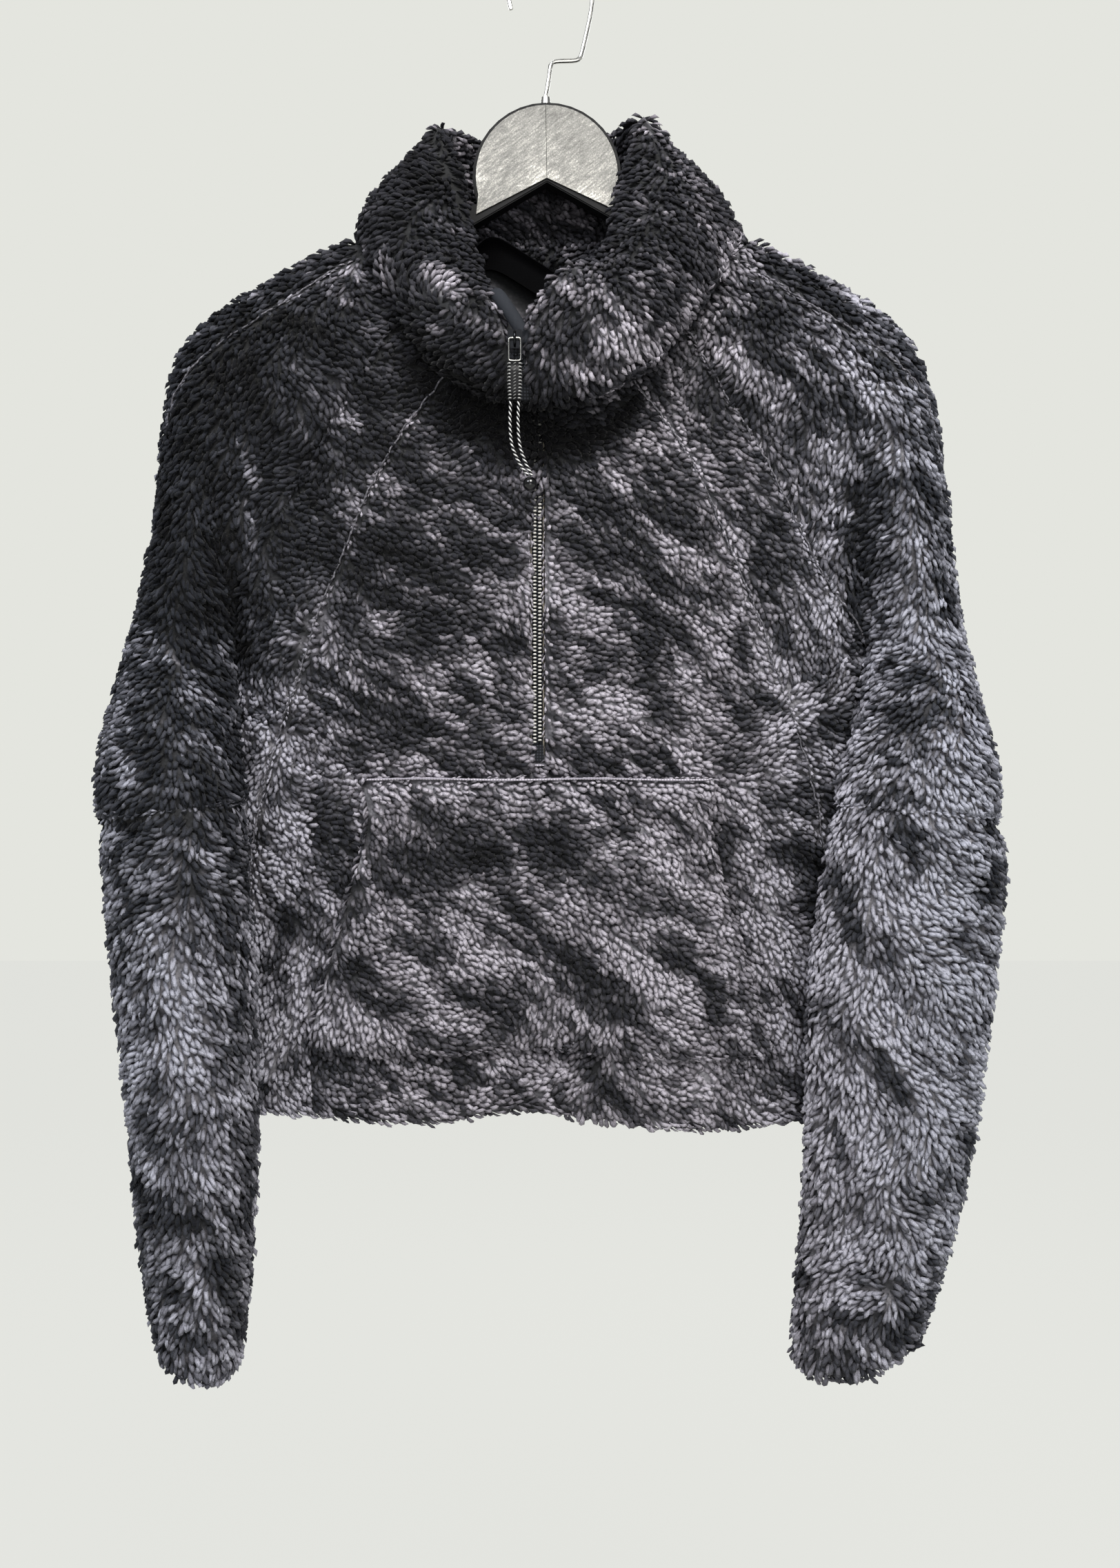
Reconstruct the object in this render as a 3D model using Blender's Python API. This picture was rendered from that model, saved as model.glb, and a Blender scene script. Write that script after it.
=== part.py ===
"""Fleece half-zip pullover with a stand collar, hanging flat on its hanger.

The tables and sizes are in millimetres and become metres when a mesh is made. X runs to the
right seen from the front, Z up, and the front faces -Y. The origin is where the hook hangs.
Every cloth panel is a patch of one garment surface, found from heights down the garment, so
neighbouring panels share their seam line and stay SEAM_GAP apart.
"""
from bisect import bisect_right
from collections import namedtuple
from math import cos, exp, hypot, pi, radians, sin, sqrt

import bmesh
import bpy
from mathutils import Matrix, Vector

MM = 0.001
SEAM_GAP = 0.3          # between neighbouring pieces
INNER_GAP = 0.9         # between the same pieces on their inner side
CLOTH = 4.0             # fleece ground with its packed pile
COLLAR_CLOTH = 8.0      # two layers of fleece, pile on both faces
POCKET_CLOTH = 3.6
SEAT = 0.9              # pocket's back above the front panel

NECK_TOP = -183.0       # collar seam on the shoulder line
UNDERARM = -445.0
ELBOW = -548.0
HEM = -739.0
CUFF = -872.0
NECK_HALF = 122.0       # neckline's half width
FRONT_DROP = 104.0      # front of the neckline below the shoulder line
BACK_DROP = 12.0
DROP_REACH = 213.0      # height over which the neckline's dip fades out
BACK_SHARE = 0.85       # the back lies flatter than the front
EDGE_ROUND = 12.0       # width of the rounded fold along the outline
CENTRE_X = -8.0         # the zip hangs a little to the left

SLOT_HALF = 4.8         # half width of the slit that the zip fills
SLOT_END = -519.0

Outline = namedtuple("Outline", "height left right")
OUTLINE = [                                  # outer edge of shoulder and sleeve
    Outline(-183, 122, 122), Outline(-194, 147, 147), Outline(-212, 178, 178),
    Outline(-230, 208, 208), Outline(-245, 228, 227), Outline(-262, 238, 234),
    Outline(-285, 243.5, 243), Outline(-320, 247, 248), Outline(-365, 251, 253),
    Outline(-408, 260, 258), Outline(-445, 268, 263), Outline(-480, 272.5, 268),
    Outline(-510, 276, 272), Outline(-548, 275, 276), Outline(-590, 268, 275.5),
    Outline(-625, 265.5, 271), Outline(-665, 261.5, 267), Outline(-710, 256.5, 261.5),
    Outline(-760, 251, 253.5), Outline(-810, 248, 243), Outline(-845, 243, 233),
    Outline(-872, 236, 222),
]

Yoke = namedtuple("Yoke", "height depth roof inner blend chest_half chest_depth")
YOKE = [                                     # above the underarm, sleeve and chest in one
    Yoke(-183, 32, 150, -400, 2, 122, 1), Yoke(-212, 34, 155, -400, 6, 178, 20),
    Yoke(-245, 38, 118, -300, 10, 216, 34), Yoke(-285, 42, 60, 60, 14, 232, 41),
    Yoke(-320, 44, 46, 150, 12, 238, 43), Yoke(-365, 44, 38, 185, 9, 234, 44),
    Yoke(-408, 42, 36, 196, 5, 220, 43), Yoke(-445, 40, 31, 203, 0.01, 203, 42),
]

Tube = namedtuple("Tube", "height inner_left inner_right depth_left depth_right forward tilt")
TUBE = [                                     # sleeves below the underarm
    Tube(-445, 203, 203, 40, 40, 0, 0), Tube(-462, 203, 202, 40, 39, 9, 1),
    Tube(-483, 200, 197.5, 39, 38, 24, 2), Tube(-504, 196, 189, 38, 36, 37, 4),
    Tube(-548, 189, 177, 37, 32, 50, 5), Tube(-590, 184, 166, 37, 29, 55, 3),
    Tube(-625, 180.5, 161.5, 37, 27, 57, 1), Tube(-665, 179.5, 158.5, 36, 27, 57, 0),
    Tube(-760, 180, 156, 35, 26, 57, -2), Tube(-825, 184.5, 151, 33, 25, 56, -6),
    Tube(-872, 190, 149, 31, 24, 55, -9),
]
CUFF_DROOP = 11.0       # front of the cuff below its sides
DROOP_REACH = 60.0

Torso = namedtuple("Torso", "height half depth")
TORSO = [
    Torso(-445, 203, 42), Torso(-462, 200.2, 41), Torso(-483, 200, 40), Torso(-520, 203, 39),
    Torso(-560, 207, 38), Torso(-620, 211, 37), Torso(-739, 213, 36),
]
TORSO_SQUARE = 2.3      # exponent of the torso's section

Seam = namedtuple("Seam", "height reach")
RAGLAN_FRONT = [                             # distances from the zip's line
    Seam(-225, 76), Seam(-270, 103), Seam(-300, 122), Seam(-324, 136.5), Seam(-350, 151),
    Seam(-390, 171), Seam(-420, 189), Seam(-445, 203),
]
RAGLAN_BACK = [
    Seam(-188, 70), Seam(-230, 92), Seam(-270, 112), Seam(-309, 132), Seam(-350, 153),
    Seam(-390, 172), Seam(-420, 189), Seam(-445, 203),
]
SIDE_FRONT = [
    Seam(-265, 46), Seam(-290, 64), Seam(-309, 79), Seam(-339, 98), Seam(-400, 125),
    Seam(-424, 136), Seam(-451, 144), Seam(-474, 153), Seam(-516, 168), Seam(-560, 178),
    Seam(-620, 184), Seam(-739, 188),
]
SHIFT_START = -400.0    # below this the seams swing back to the middle of the underarm
ArmSeam = namedtuple("ArmSeam", "height turn")
ARM_SEAM = [                                 # share of the front sleeve behind its own seam
    ArmSeam(-183, 0.45), ArmSeam(-222, 0.45), ArmSeam(-258, 0.36), ArmSeam(-300, 0.2),
    ArmSeam(-350, 0.1), ArmSeam(-548, 0.06),
]

Fold = namedtuple("Fold", "face x1 z1 x2 z2 width depth")
FOLDS = [                                    # largest troughs; a negative depth is a ridge
    Fold("front", -214, -318, -202, -410, 9, 5), Fold("front", 197, -300, 198, -415, 9, 6),
    Fold("front", -226, -275, -120, -415, 20, 4), Fold("front", 205, -300, 95, -470, 22, 4),
    Fold("front", -190, -470, -60, -610, 24, 3.5), Fold("front", 170, -500, 40, -640, 26, 3.5),
    Fold("front", -110, -560, -125, -720, 22, -4), Fold("front", 60, -600, 75, -725, 26, -4),
    Fold("front", -20, -620, -15, -730, 22, 4), Fold("front", 150, -560, 160, -725, 20, 4),
    Fold("back", -200, -300, -196, -412, 12, 6), Fold("back", 200, -300, 197, -412, 12, 6),
    Fold("back", -150, -470, -40, -620, 26, 4), Fold("back", 165, -450, 60, -600, 26, 4),
    Fold("back", -80, -560, -95, -725, 26, -4), Fold("back", 95, -560, 110, -725, 28, -4),
    Fold("back", 10, -600, 5, -730, 26, 4), Fold("back", 0, -240, 0, -420, 40, 5),
]
HemWave = namedtuple("HemWave", "x rise")
HEM_WAVE = [
    HemWave(-213, 2), HemWave(-176, 2), HemWave(-78, -3), HemWave(-20, 6), HemWave(27, 0),
    HemWave(85, -7), HemWave(151, -3), HemWave(213, 0),
]
WAVE_REACH = 90.0

ArmFold = namedtuple("ArmFold", "side height turn length spread depth")
ARM_FOLDS = [                                # dents across a sleeve; turn 0 outside, 1 inside
    ArmFold("left", -500, 0.6, 10, 0.35, 4), ArmFold("left", -556, -0.1, 9, 0.4, 5),
    ArmFold("left", -585, 0.9, 14, 0.3, 4), ArmFold("left", -690, 0.5, 22, 0.3, 3),
    ArmFold("left", -800, 0.25, 16, 0.3, 3.5), ArmFold("right", -500, 0.55, 12, 0.35, 4),
    ArmFold("right", -553, -0.05, 9, 0.4, 6), ArmFold("right", -600, 0.85, 14, 0.3, 4),
    ArmFold("right", -700, 0.4, 24, 0.3, 3), ArmFold("right", -790, 0.6, 16, 0.35, 3.5),
    ArmFold("left", -610, -0.6, 20, 0.35, 4), ArmFold("right", -630, -0.6, 20, 0.35, 3),
]

YOKE_ROWS = [-183, -193, -205, -219, -234, -249, -266, -287, -312, -340, -370, -398, -420, -435]
TORSO_ROWS = [-445, -462, -483, -504, -519, -545, -580, -620, -660, -700, -739]
SLEEVE_ROWS = [-445, -457, -470, -485, -504, -526, -548]
LOWER_ROWS = [-548, -556, -570, -590, -620, -655, -695, -735, -775, -815, -848, -872]

Station = namedtuple("Station", "face share belly crest top")
COLLAR = [                                   # round the neck, from the right of the zip to its left
    Station("front", -0.026, (-9.4, -72, -303), (-15.4, -82, -264), (1, -80, -236)),
    Station("front", 0.26, (22, -77, -299), (18, -90, -256), (10, -76, -226)),
    Station("front", 0.55, (64, -68, -272), (54, -82, -232), (34, -56, -208)),
    Station("front", 0.85, (106, -40, -204), (84, -42, -168), (46, -24, -152)),
    Station("front", 1.0, (108, 0, -160), (86, 0, -135), (60, 0, -104)),
    Station("back", 0.6, (70, 40, -165), (56, 41, -135), (46, 36, -104)),
    Station("back", 0.0, (-2, 44, -165), (-4, 44, -135), (-4, 40, -108)),
    Station("back", -0.6, (-72, 40, -165), (-62, 41, -135), (-54, 36, -108)),
    Station("front", -1.0, (-114, 0, -160), (-92, 0, -136), (-73, 0, -111)),
    Station("front", -0.85, (-108, -38, -204), (-92, -38, -168), (-58, -22, -148)),
    Station("front", -0.5, (-73, -64, -273), (-67, -64, -230), (-50, -42, -196)),
    Station("front", -0.25, (-44, -70, -294), (-48, -78, -254), (-44, -60, -222)),
    Station("front", -0.105, (-20.6, -72, -303), (-26.6, -82, -264), (-38, -66, -236)),
]
COLLAR_LEVELS = [0.0, 0.15, 0.3, 0.46, 0.62, 0.8, 1.0]
CREST_LEVEL = 0.62      # share of the collar's height below the slider

PocketRow = namedtuple("PocketRow", "height half")
POCKET = [
    PocketRow(-529, 109), PocketRow(-540, 101), PocketRow(-560, 104), PocketRow(-590, 112),
    PocketRow(-625, 122), PocketRow(-660, 132), PocketRow(-697, 142),
]
POCKET_TOP, POCKET_FOOT = POCKET[0].height, POCKET[-1].height
POUCH = 5.0             # how far the empty pocket stands off at its middle
MOUTH_PRESS = 0.7       # how far the slanted mouths are pressed shut

TAPE_HALF, TAPE_THICK, TAPE_SINK = 4.4, 1.0, 3.9
CHAIN_HALF, CHAIN_THICK = 3.2, 2.4
CHAIN_END = -507.0
ZIP_COLLAR_THICK = 2.6

HANGER_ROLL = radians(1.0)
FERRULE_X, FERRULE_FOOT = -3.2, -96.5
NECK_RADIUS = 47.5
NECK_DROP = 47.8        # arch centre below the ferrule
VEE_DROP, VEE_SLOPE = 51.2, 0.49
HANGER_THICK = 12.0
ARM_ROOT, ARM_TIP = 122.0, 206.0
ARM_CLEAR = 10.8        # the arms' top edge below the shoulder line of the cloth
PLATE_THICK, PLATE_RIM, PLATE_JOINT = 0.8, 2.2, 0.3
FERRULE_HIGH, FERRULE_RADIUS = 5.0, 3.4
HOOK_RADIUS, WIRE_RADIUS = 27.0, 1.4
STEM_X = -0.8           # the wire leans to here under its step
JOG_Z, JOG_X, JOG_BEND = -68.0, 15.0, 5.0    # the wire's square step to the right

SLIDER = (8.6, 3.0, 11.0)   # width, thickness, length
BRIDGE_FOOT, BRIDGE_RISE, BRIDGE_WIRE = 4.2, 4.3, 0.8
LOOP_HALF, LOOP_DROP, LOOP_WIRE = 3.5, 13.5, 0.55
WRAP_HALF, WRAP_LONG, WRAP_THICK = 4.4, 22.5, 4.4
CORD_RADIUS = 0.95
CordStep = namedtuple("CordStep", "down across")
CORD_PATH = [                                # shares of the strands' way to the bead
    CordStep(0, 0), CordStep(0.3, -0.05), CordStep(0.6, 0.12), CordStep(0.85, 0.62), CordStep(1, 1),
]
Strand = namedtuple("Strand", "name start bow")
STRANDS = [Strand("pull_cord_left", -2.4, -3.2), Strand("pull_cord_right", 2.3, -1.6)]
BEAD_RADIUS = 4.3
BEAD_DROP, BEAD_ASIDE = 86.0, 9.0   # bead's centre from the pull's hinge


def track(rows, key, value):
    """A smooth function through one column of a table that never overshoots its rows."""
    knots = sorted((getattr(row, key), getattr(row, value)) for row in rows)
    places = [knot[0] for knot in knots]
    levels = [knot[1] for knot in knots]
    rates = [(levels[i + 1] - levels[i]) / (places[i + 1] - places[i]) for i in range(len(knots) - 1)]
    slopes = [rates[0]]
    for before, after in zip(rates, rates[1:]):
        slopes.append(2 * before * after / (before + after) if before * after > 0 else 0.0)
    slopes.append(rates[-1])

    def read(place):
        place = min(max(place, places[0]), places[-1])
        i = min(bisect_right(places, place) - 1, len(places) - 2)
        span = places[i + 1] - places[i]
        t = (place - places[i]) / span
        return (
            levels[i] * (1 + 2 * t) * (1 - t) ** 2 + levels[i + 1] * t * t * (3 - 2 * t)
            + span * (slopes[i] * t * (1 - t) ** 2 - slopes[i + 1] * t * t * (1 - t))
        )

    return read


OUTER = {side: track(OUTLINE, "height", side) for side in ("left", "right")}
yoke_depth, yoke_roof, yoke_inner, yoke_blend, chest_half, chest_depth = (
    track(YOKE, "height", column) for column in Yoke._fields[1:]
)
TUBE_INNER = {side: track(TUBE, "height", "inner_" + side) for side in ("left", "right")}
TUBE_DEPTH = {side: track(TUBE, "height", "depth_" + side) for side in ("left", "right")}
tube_forward, tube_tilt = track(TUBE, "height", "forward"), track(TUBE, "height", "tilt")
torso_half, torso_depth = track(TORSO, "height", "half"), track(TORSO, "height", "depth")
SEAMS = {
    "raglan_front": track(RAGLAN_FRONT, "height", "reach"),
    "raglan_back": track(RAGLAN_BACK, "height", "reach"),
    "side_front": track(SIDE_FRONT, "height", "reach"),
}
arm_seam = track(ARM_SEAM, "height", "turn")
hem_wave = track(HEM_WAVE, "x", "rise")
pocket_half = track(POCKET, "height", "half")


def ease(value):
    """Smooth step from 0 to 1."""
    value = min(max(value, 0.0), 1.0)
    return value * value * (3 - 2 * value)


def side_of(x):
    """Name of the side of the garment that x lies on."""
    return "left" if x < 0 else "right"


def roof(share):
    """Quarter ellipse: 0 on the outline, 1 where the cloth lies flat."""
    return sqrt(max(0.0, 1 - (1 - min(max(share, 0.0), 1.0)) ** 2))


def real_height(face, x, row):
    """Height of a point of a row, dipped towards the neckline and waved at the hem."""
    share = min(1.0, abs(x) / OUTER[side_of(x)](row))
    drop = FRONT_DROP if face == "front" else BACK_DROP
    dip = drop * (1 - share ** 2.2) * (1 - ease((NECK_TOP - row) / DROP_REACH))
    return row - dip + hem_wave(x) * ease((HEM + WAVE_REACH - row) / WAVE_REACH)


def section(share, square):
    """Half depth of a rounded flat section, as a share, at a share of its half width."""
    return max(0.0, 1 - min(1.0, abs(share)) ** square) ** (1 / square)


def half_depth(x, z):
    """Distance of the garment's outer face from its middle plane."""
    reach = abs(x)
    if z <= UNDERARM:
        return torso_depth(z) * section(reach / torso_half(z), TORSO_SQUARE)
    edge = OUTER[side_of(x)](z) - reach
    crown = yoke_roof(z)
    fade = ease((UNDERARM + 60 - z) / 60)
    crown += ((OUTER[side_of(x)](z) - yoke_inner(z)) / 2 - crown) * fade
    sleeve = yoke_depth(z) * roof(edge / crown)
    if edge > crown:
        beyond = (edge - crown) / max(1.0, OUTER[side_of(x)](z) - crown - yoke_inner(z))
        sleeve *= sqrt(max(0.0, 1 - beyond * beyond))
    chest = chest_depth(z) * section(reach / chest_half(z), TORSO_SQUARE)
    depth = (sleeve + chest + hypot(sleeve - chest, yoke_blend(z))) / 2
    return depth * roof(edge / EDGE_ROUND)


def fold_depth(face, x, z):
    """How far the large folds push the cloth inwards at a point of one face."""
    total = 0.0
    for fold in FOLDS:
        if fold.face != face:
            continue
        along_x, along_z = fold.x2 - fold.x1, fold.z2 - fold.z1
        length = hypot(along_x, along_z)
        t = ((x - fold.x1) * along_x + (z - fold.z1) * along_z) / length ** 2
        away = abs((x - fold.x1) * along_z - (z - fold.z1) * along_x) / length
        if -0.3 < t < 1.3:
            total += fold.depth * exp(-(away / fold.width) ** 2) * sin(pi * (t + 0.3) / 1.6) ** 2
    return total


def face_point(face, x, row):
    """Point of the body's or yoke's outer face."""
    z = real_height(face, x, row)
    level = z if row > UNDERARM else row
    depth = half_depth(x, level)
    half = OUTER[side_of(x)](level) if level > UNDERARM else torso_half(level)
    depth -= fold_depth(face, x, z) * ease((half - abs(x)) / 30) * ease(depth / 20)
    return Vector((x, -depth if face == "front" else depth * BACK_SHARE, z))


def seam_x(seam, side, face, row):
    """Where a seam crosses a row."""
    sign = -1 if side == "left" else 1
    x = sign * SEAMS[seam](row)
    for _ in range(40):
        z = real_height(face, x, row)
        shift = CENTRE_X * (1 - ease((SHIFT_START - z) / (SHIFT_START - UNDERARM)))
        if seam == "side_front" or face == "back":
            shift = CENTRE_X if face == "front" else 0.0
        x += 0.5 * (sign * SEAMS[seam](z) + shift - x)
    return x


def body_edge(side, face, row):
    """The panel's outer edge: the raglan seam, then the side seam."""
    if row > UNDERARM:
        return seam_x("raglan_" + face, side, face, row)
    return (-1 if side == "left" else 1) * torso_half(row)


def gather(t, row):
    """Column spacing: even above, and closer together at the side seam below."""
    closed = ease((-385 - row) / 60)
    return (1 - closed) * t + closed * sin(pi * t / 2)


def centre_front_point(t, row):
    """t from 0 at the left seam to 1 at the right one."""
    left = seam_x("side_front", "left", "front", row)
    right = seam_x("side_front", "right", "front", row)
    if t < 0.5:
        x = left + (CENTRE_X - left) * 2 * t
    else:
        x = CENTRE_X + (right - CENTRE_X) * (2 * t - 1)
    return face_point("front", x, row)


def side_front_point(side):
    """Point function of a side front, t from its inner seam to its outer edge."""
    def point(t, row):
        inner = seam_x("side_front", side, "front", row)
        outer = body_edge(side, "front", row)
        return face_point("front", inner + (outer - inner) * gather(t, row), row)
    return point


def back_point(t, row):
    """t from 0 at the left edge to 1 at the right edge."""
    left, right = body_edge("left", "back", row), body_edge("right", "back", row)
    spread = 2 * t - 1
    spread = (1 if spread >= 0 else -1) * gather(abs(spread), row)
    return face_point("back", (left + right) / 2 + (right - left) / 2 * spread, row)


def tube_point(side, turn, row):
    """Point of a sleeve below the underarm; turn 0 outside, 1 inside by the front."""
    outer, inner = OUTER[side](row), TUBE_INNER[side](row)
    sign = -1 if side == "left" else 1
    bite = 0.0
    for fold in ARM_FOLDS:
        if fold.side == side:
            gap = (turn - fold.turn + 1) % 2 - 1
            bite += fold.depth * exp(-((row - fold.height) / fold.length) ** 2 - (gap / fold.spread) ** 2)
    bite *= ease((UNDERARM - row) / 25)
    across, deep = (outer - inner) / 2 - bite, TUBE_DEPTH[side](row) - bite
    x = (outer + inner) / 2 + across * cos(pi * turn)
    z = row - tube_tilt(row) * cos(pi * turn)
    z -= CUFF_DROOP * max(0.0, sin(pi * turn)) * ease((CUFF + DROOP_REACH - row) / DROOP_REACH)
    return Vector((sign * x, -tube_forward(row) - deep * sin(pi * turn), z))


def sleeve_point(side):
    """Point function of a sleeve; turn 1 front seam, 0 shoulder line, -1 back seam."""
    def point(turn, row):
        if row <= UNDERARM:
            return tube_point(side, turn, row)
        face = "front" if turn >= 0 else "back"
        outer = OUTER[side](row)
        inner = abs(seam_x("raglan_" + face, side, face, row))
        bend = pi * (0.5 + 0.5 * ease((-300 - row) / (-300 - UNDERARM)))
        x = outer - (outer - inner) * (1 - cos(bend * abs(turn))) / (1 - cos(bend))
        return face_point(face, -x if side == "left" else x, row)
    return point


def hermite(values, t):
    """Smooth curve through evenly numbered vectors at t from 0 to len - 1."""
    i = min(int(t), len(values) - 2)
    t -= i
    before = values[i - 1] if i else values[0] * 2 - values[1]
    after = values[i + 2] if i + 2 < len(values) else values[-1] * 2 - values[-2]
    enter, leave = (values[i + 1] - before) / 2, (after - values[i]) / 2
    return (
        values[i] * (1 + 2 * t) * (1 - t) ** 2 + values[i + 1] * t * t * (3 - 2 * t)
        + enter * t * (1 - t) ** 2 - leave * t * t * (1 - t)
    )


def collar_curve(place):
    """Belly, crest and top points of the collar at a place between stations."""
    return [
        hermite([Vector(getattr(station, level)) for station in COLLAR], place)
        for level in ("belly", "crest", "top")
    ]


def station_place(face, x):
    """Place among the collar's stations of a neckline point at x."""
    share = x / NECK_HALF
    on_right = x > CENTRE_X
    start = (4, 8) if face == "back" else (0, 4) if on_right else (8, 12)
    for i in range(*start):
        first, last = COLLAR[i].share, COLLAR[i + 1].share
        if face == "back" and i == 4:
            first = 1.0
        if face == "back" and i == 7:
            last = -1.0
        if min(first, last) - 1e-6 <= share <= max(first, last) + 1e-6:
            return i + (share - first) / (last - first)
    return float(start[0]) if on_right else float(start[1])


def collar_point(base, place):
    """Curve up the collar from its seam, as a function of a level from 0 to 1."""
    levels = [base] + collar_curve(place)
    return lambda level: hermite(levels, 3 * level)


def clear_scene():
    """Empty the file's scene and make its two collections."""
    for thing in list(bpy.data.objects):
        bpy.data.objects.remove(thing, do_unlink=True)
    made = {}
    for name in ("fleece_pullover_on_hanger", "cutters"):
        made[name] = bpy.data.collections.new(name)
        bpy.context.scene.collection.children.link(made[name])
    return made


COLLECTIONS = clear_scene()
MATERIALS = {}


def material(name, colour, roughness, metallic=0.0):
    """Principled material, kept by name."""
    if name not in MATERIALS:
        made = bpy.data.materials.new(name)
        made.use_nodes = True
        shader = made.node_tree.nodes["Principled BSDF"]
        shader.inputs["Base Color"].default_value = (*colour, 1.0)
        shader.inputs["Roughness"].default_value = roughness
        shader.inputs["Metallic"].default_value = metallic
        MATERIALS[name] = made
    return MATERIALS[name]


FLEECE = ("fleece", (0.085, 0.082, 0.092), 0.95)
TAPE = ("woven_tape", (0.03, 0.032, 0.038), 0.8)
STEEL = ("steel", (0.62, 0.62, 0.62), 0.25, 1.0)
BLACK_METAL = ("black_metal", (0.01, 0.01, 0.011), 0.3, 0.6)
BLACK_PLASTIC = ("black_plastic", (0.012, 0.012, 0.013), 0.4)
SILVER_FOIL = ("silver_plate", (0.6, 0.6, 0.59), 0.35, 0.9)
CORD = ("metallic_cord", (0.25, 0.25, 0.26), 0.5, 0.4)


def add_object(name, data, finish, parent=None):
    """Link a new object with its material under its group."""
    made = bpy.data.objects.new(name, data)
    COLLECTIONS["fleece_pullover_on_hanger"].objects.link(made)
    data.materials.append(material(*finish))
    if parent:
        made.parent = parent
        made.matrix_parent_inverse = parent.matrix_basis.inverted()
    return made


def add_group(name, place=(0, 0, 0)):
    """Empty that carries a group of pieces."""
    made = bpy.data.objects.new(name, None)
    made.location = Vector(place) * MM
    COLLECTIONS["fleece_pullover_on_hanger"].objects.link(made)
    return made


GARMENT = add_group("garment")
HANGER = add_group("hanger")


def draw_in(points, closed, ends, gap):
    """Move the first and last point of each line inwards by a gap."""
    def pull(point, towards):
        return point + (towards - point).normalized() * gap

    if not closed:
        for line in points:
            line[0], line[-1] = pull(line[0], line[1]), pull(line[-1], line[-2])
    if ends:
        first = [pull(a, b) for a, b in zip(points[0], points[1])]
        last = [pull(a, b) for a, b in zip(points[-1], points[-2])]
        points[0], points[-1] = first, last


def shell(name, outer, inner, finish, closed=False, skip=(), ends=True, parent=GARMENT):
    """Closed wall between two matching grids of points, in millimetres."""
    draw_in(outer, closed, ends, SEAM_GAP / 2)
    draw_in(inner, closed, ends, INNER_GAP / 2)
    rows, columns = len(outer), len(outer[0])
    cells = []
    for r in range(rows - 1):
        for c in range(columns if closed else columns - 1):
            if (r, c) not in skip:
                d = (c + 1) % columns
                cells.append(((r, c), (r + 1, c), (r + 1, d), (r, d)))
    mesh = bmesh.new()
    skins = []
    for grid in (outer, inner):
        used = {corner for cell in cells for corner in cell}
        skins.append({corner: mesh.verts.new(grid[corner[0]][corner[1]] * MM) for corner in sorted(used)})
    for cell in cells:
        mesh.faces.new([skins[0][corner] for corner in cell])
        mesh.faces.new([skins[1][corner] for corner in reversed(cell)])
    runs = {(cell[i], cell[(i + 1) % 4]) for cell in cells for i in range(4)}
    for a, b in sorted(runs):
        if (b, a) not in runs:
            mesh.faces.new((skins[0][b], skins[0][a], skins[1][a], skins[1][b]))
    bmesh.ops.recalc_face_normals(mesh, faces=mesh.faces)
    data = bpy.data.meshes.new(name)
    mesh.to_mesh(data)
    mesh.free()
    data.shade_smooth()
    data.set_sharp_from_angle(angle=radians(50))
    return add_object(name, data, finish, parent)


def normal_of(point, t, row, limits, turn):
    """Outward normal of a point function, from steps that stay inside its limits."""
    step, climb = 2e-3, 0.6
    before, after = max(limits[0], t - step), min(limits[1], t + step)
    if row <= UNDERARM:
        low, high = row - climb, row
    else:
        low, high = max(UNDERARM + 0.01, row - climb), row + (climb if row < NECK_TOP else 0)
    across = point(after, row) - point(before, row)
    up = point(t, high) - point(t, low)
    return across.cross(up).normalized() * turn


def panel(name, point, columns, rows, wall=CLOTH, limits=(0.0, 1.0), turn=1, **options):
    """Panel of the garment through given rows; columns gives each row's places."""
    outer, inner = [], []
    for row in rows:
        places = columns(row) if callable(columns) else columns
        line = [point(t, row) for t in places]
        outer.append(line)
        inner.append([p - normal_of(point, t, row, limits, turn) * wall for p, t in zip(line, places)])
    return shell(name, outer, inner, FLEECE, **options)


def even(count, first=0.0, last=1.0):
    """Evenly spaced places."""
    return [first + (last - first) * i / count for i in range(count + 1)]


BODY_ROWS = YOKE_ROWS + TORSO_ROWS
ARM_ROWS = YOKE_ROWS + SLEEVE_ROWS
FRONT_CELLS, SIDE_CELLS, BACK_CELLS = 7, 3, 14
ARM_FRONT_CELLS, ARM_BACK_CELLS = 6, 8


def centre_front_columns(row):
    """Places across the centre front, with one pair at the slit's sides."""
    half = (seam_x("side_front", "right", "front", row) - CENTRE_X) * 2
    slot = SLOT_HALF / half
    left = [0.5 - slot - (0.5 - slot) * i / FRONT_CELLS for i in range(FRONT_CELLS, -1, -1)]
    return left + [1 - t for t in reversed(left)]


def sleeve_front_columns(row):
    """Places from the shoulder seam to the front seam."""
    return even(ARM_FRONT_CELLS, arm_seam(row), 1.0)


def sleeve_back_columns(row):
    """Places from the shoulder seam round the outside to the back seam."""
    return even(ARM_BACK_CELLS, arm_seam(row), -1.0)


def make_panels():
    """Body, side fronts, back and sleeves."""
    slit = {(r, FRONT_CELLS) for r, row in enumerate(BODY_ROWS) if row > SLOT_END}
    panel("front_centre", centre_front_point, centre_front_columns, BODY_ROWS, skip=slit)
    panel("back", back_point, even(BACK_CELLS), BODY_ROWS, turn=-1)
    for side, sign in (("left", -1), ("right", 1)):
        panel("front_side_" + side, side_front_point(side), even(SIDE_CELLS), BODY_ROWS, turn=sign)
        point = sleeve_point(side)
        panel("sleeve_front_" + side, point, sleeve_front_columns, ARM_ROWS,
              limits=(-1.0, 1.0), turn=-sign)
        panel("sleeve_back_" + side, point, sleeve_back_columns, ARM_ROWS,
              limits=(-1.0, 1.0), turn=-sign)
        ring = list(reversed(sleeve_back_columns(ELBOW))) + sleeve_front_columns(ELBOW)[1:-1]
        panel("sleeve_lower_" + side, point, ring, LOWER_ROWS, limits=(-1.1, 1.1), turn=-sign,
              closed=True)


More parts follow.
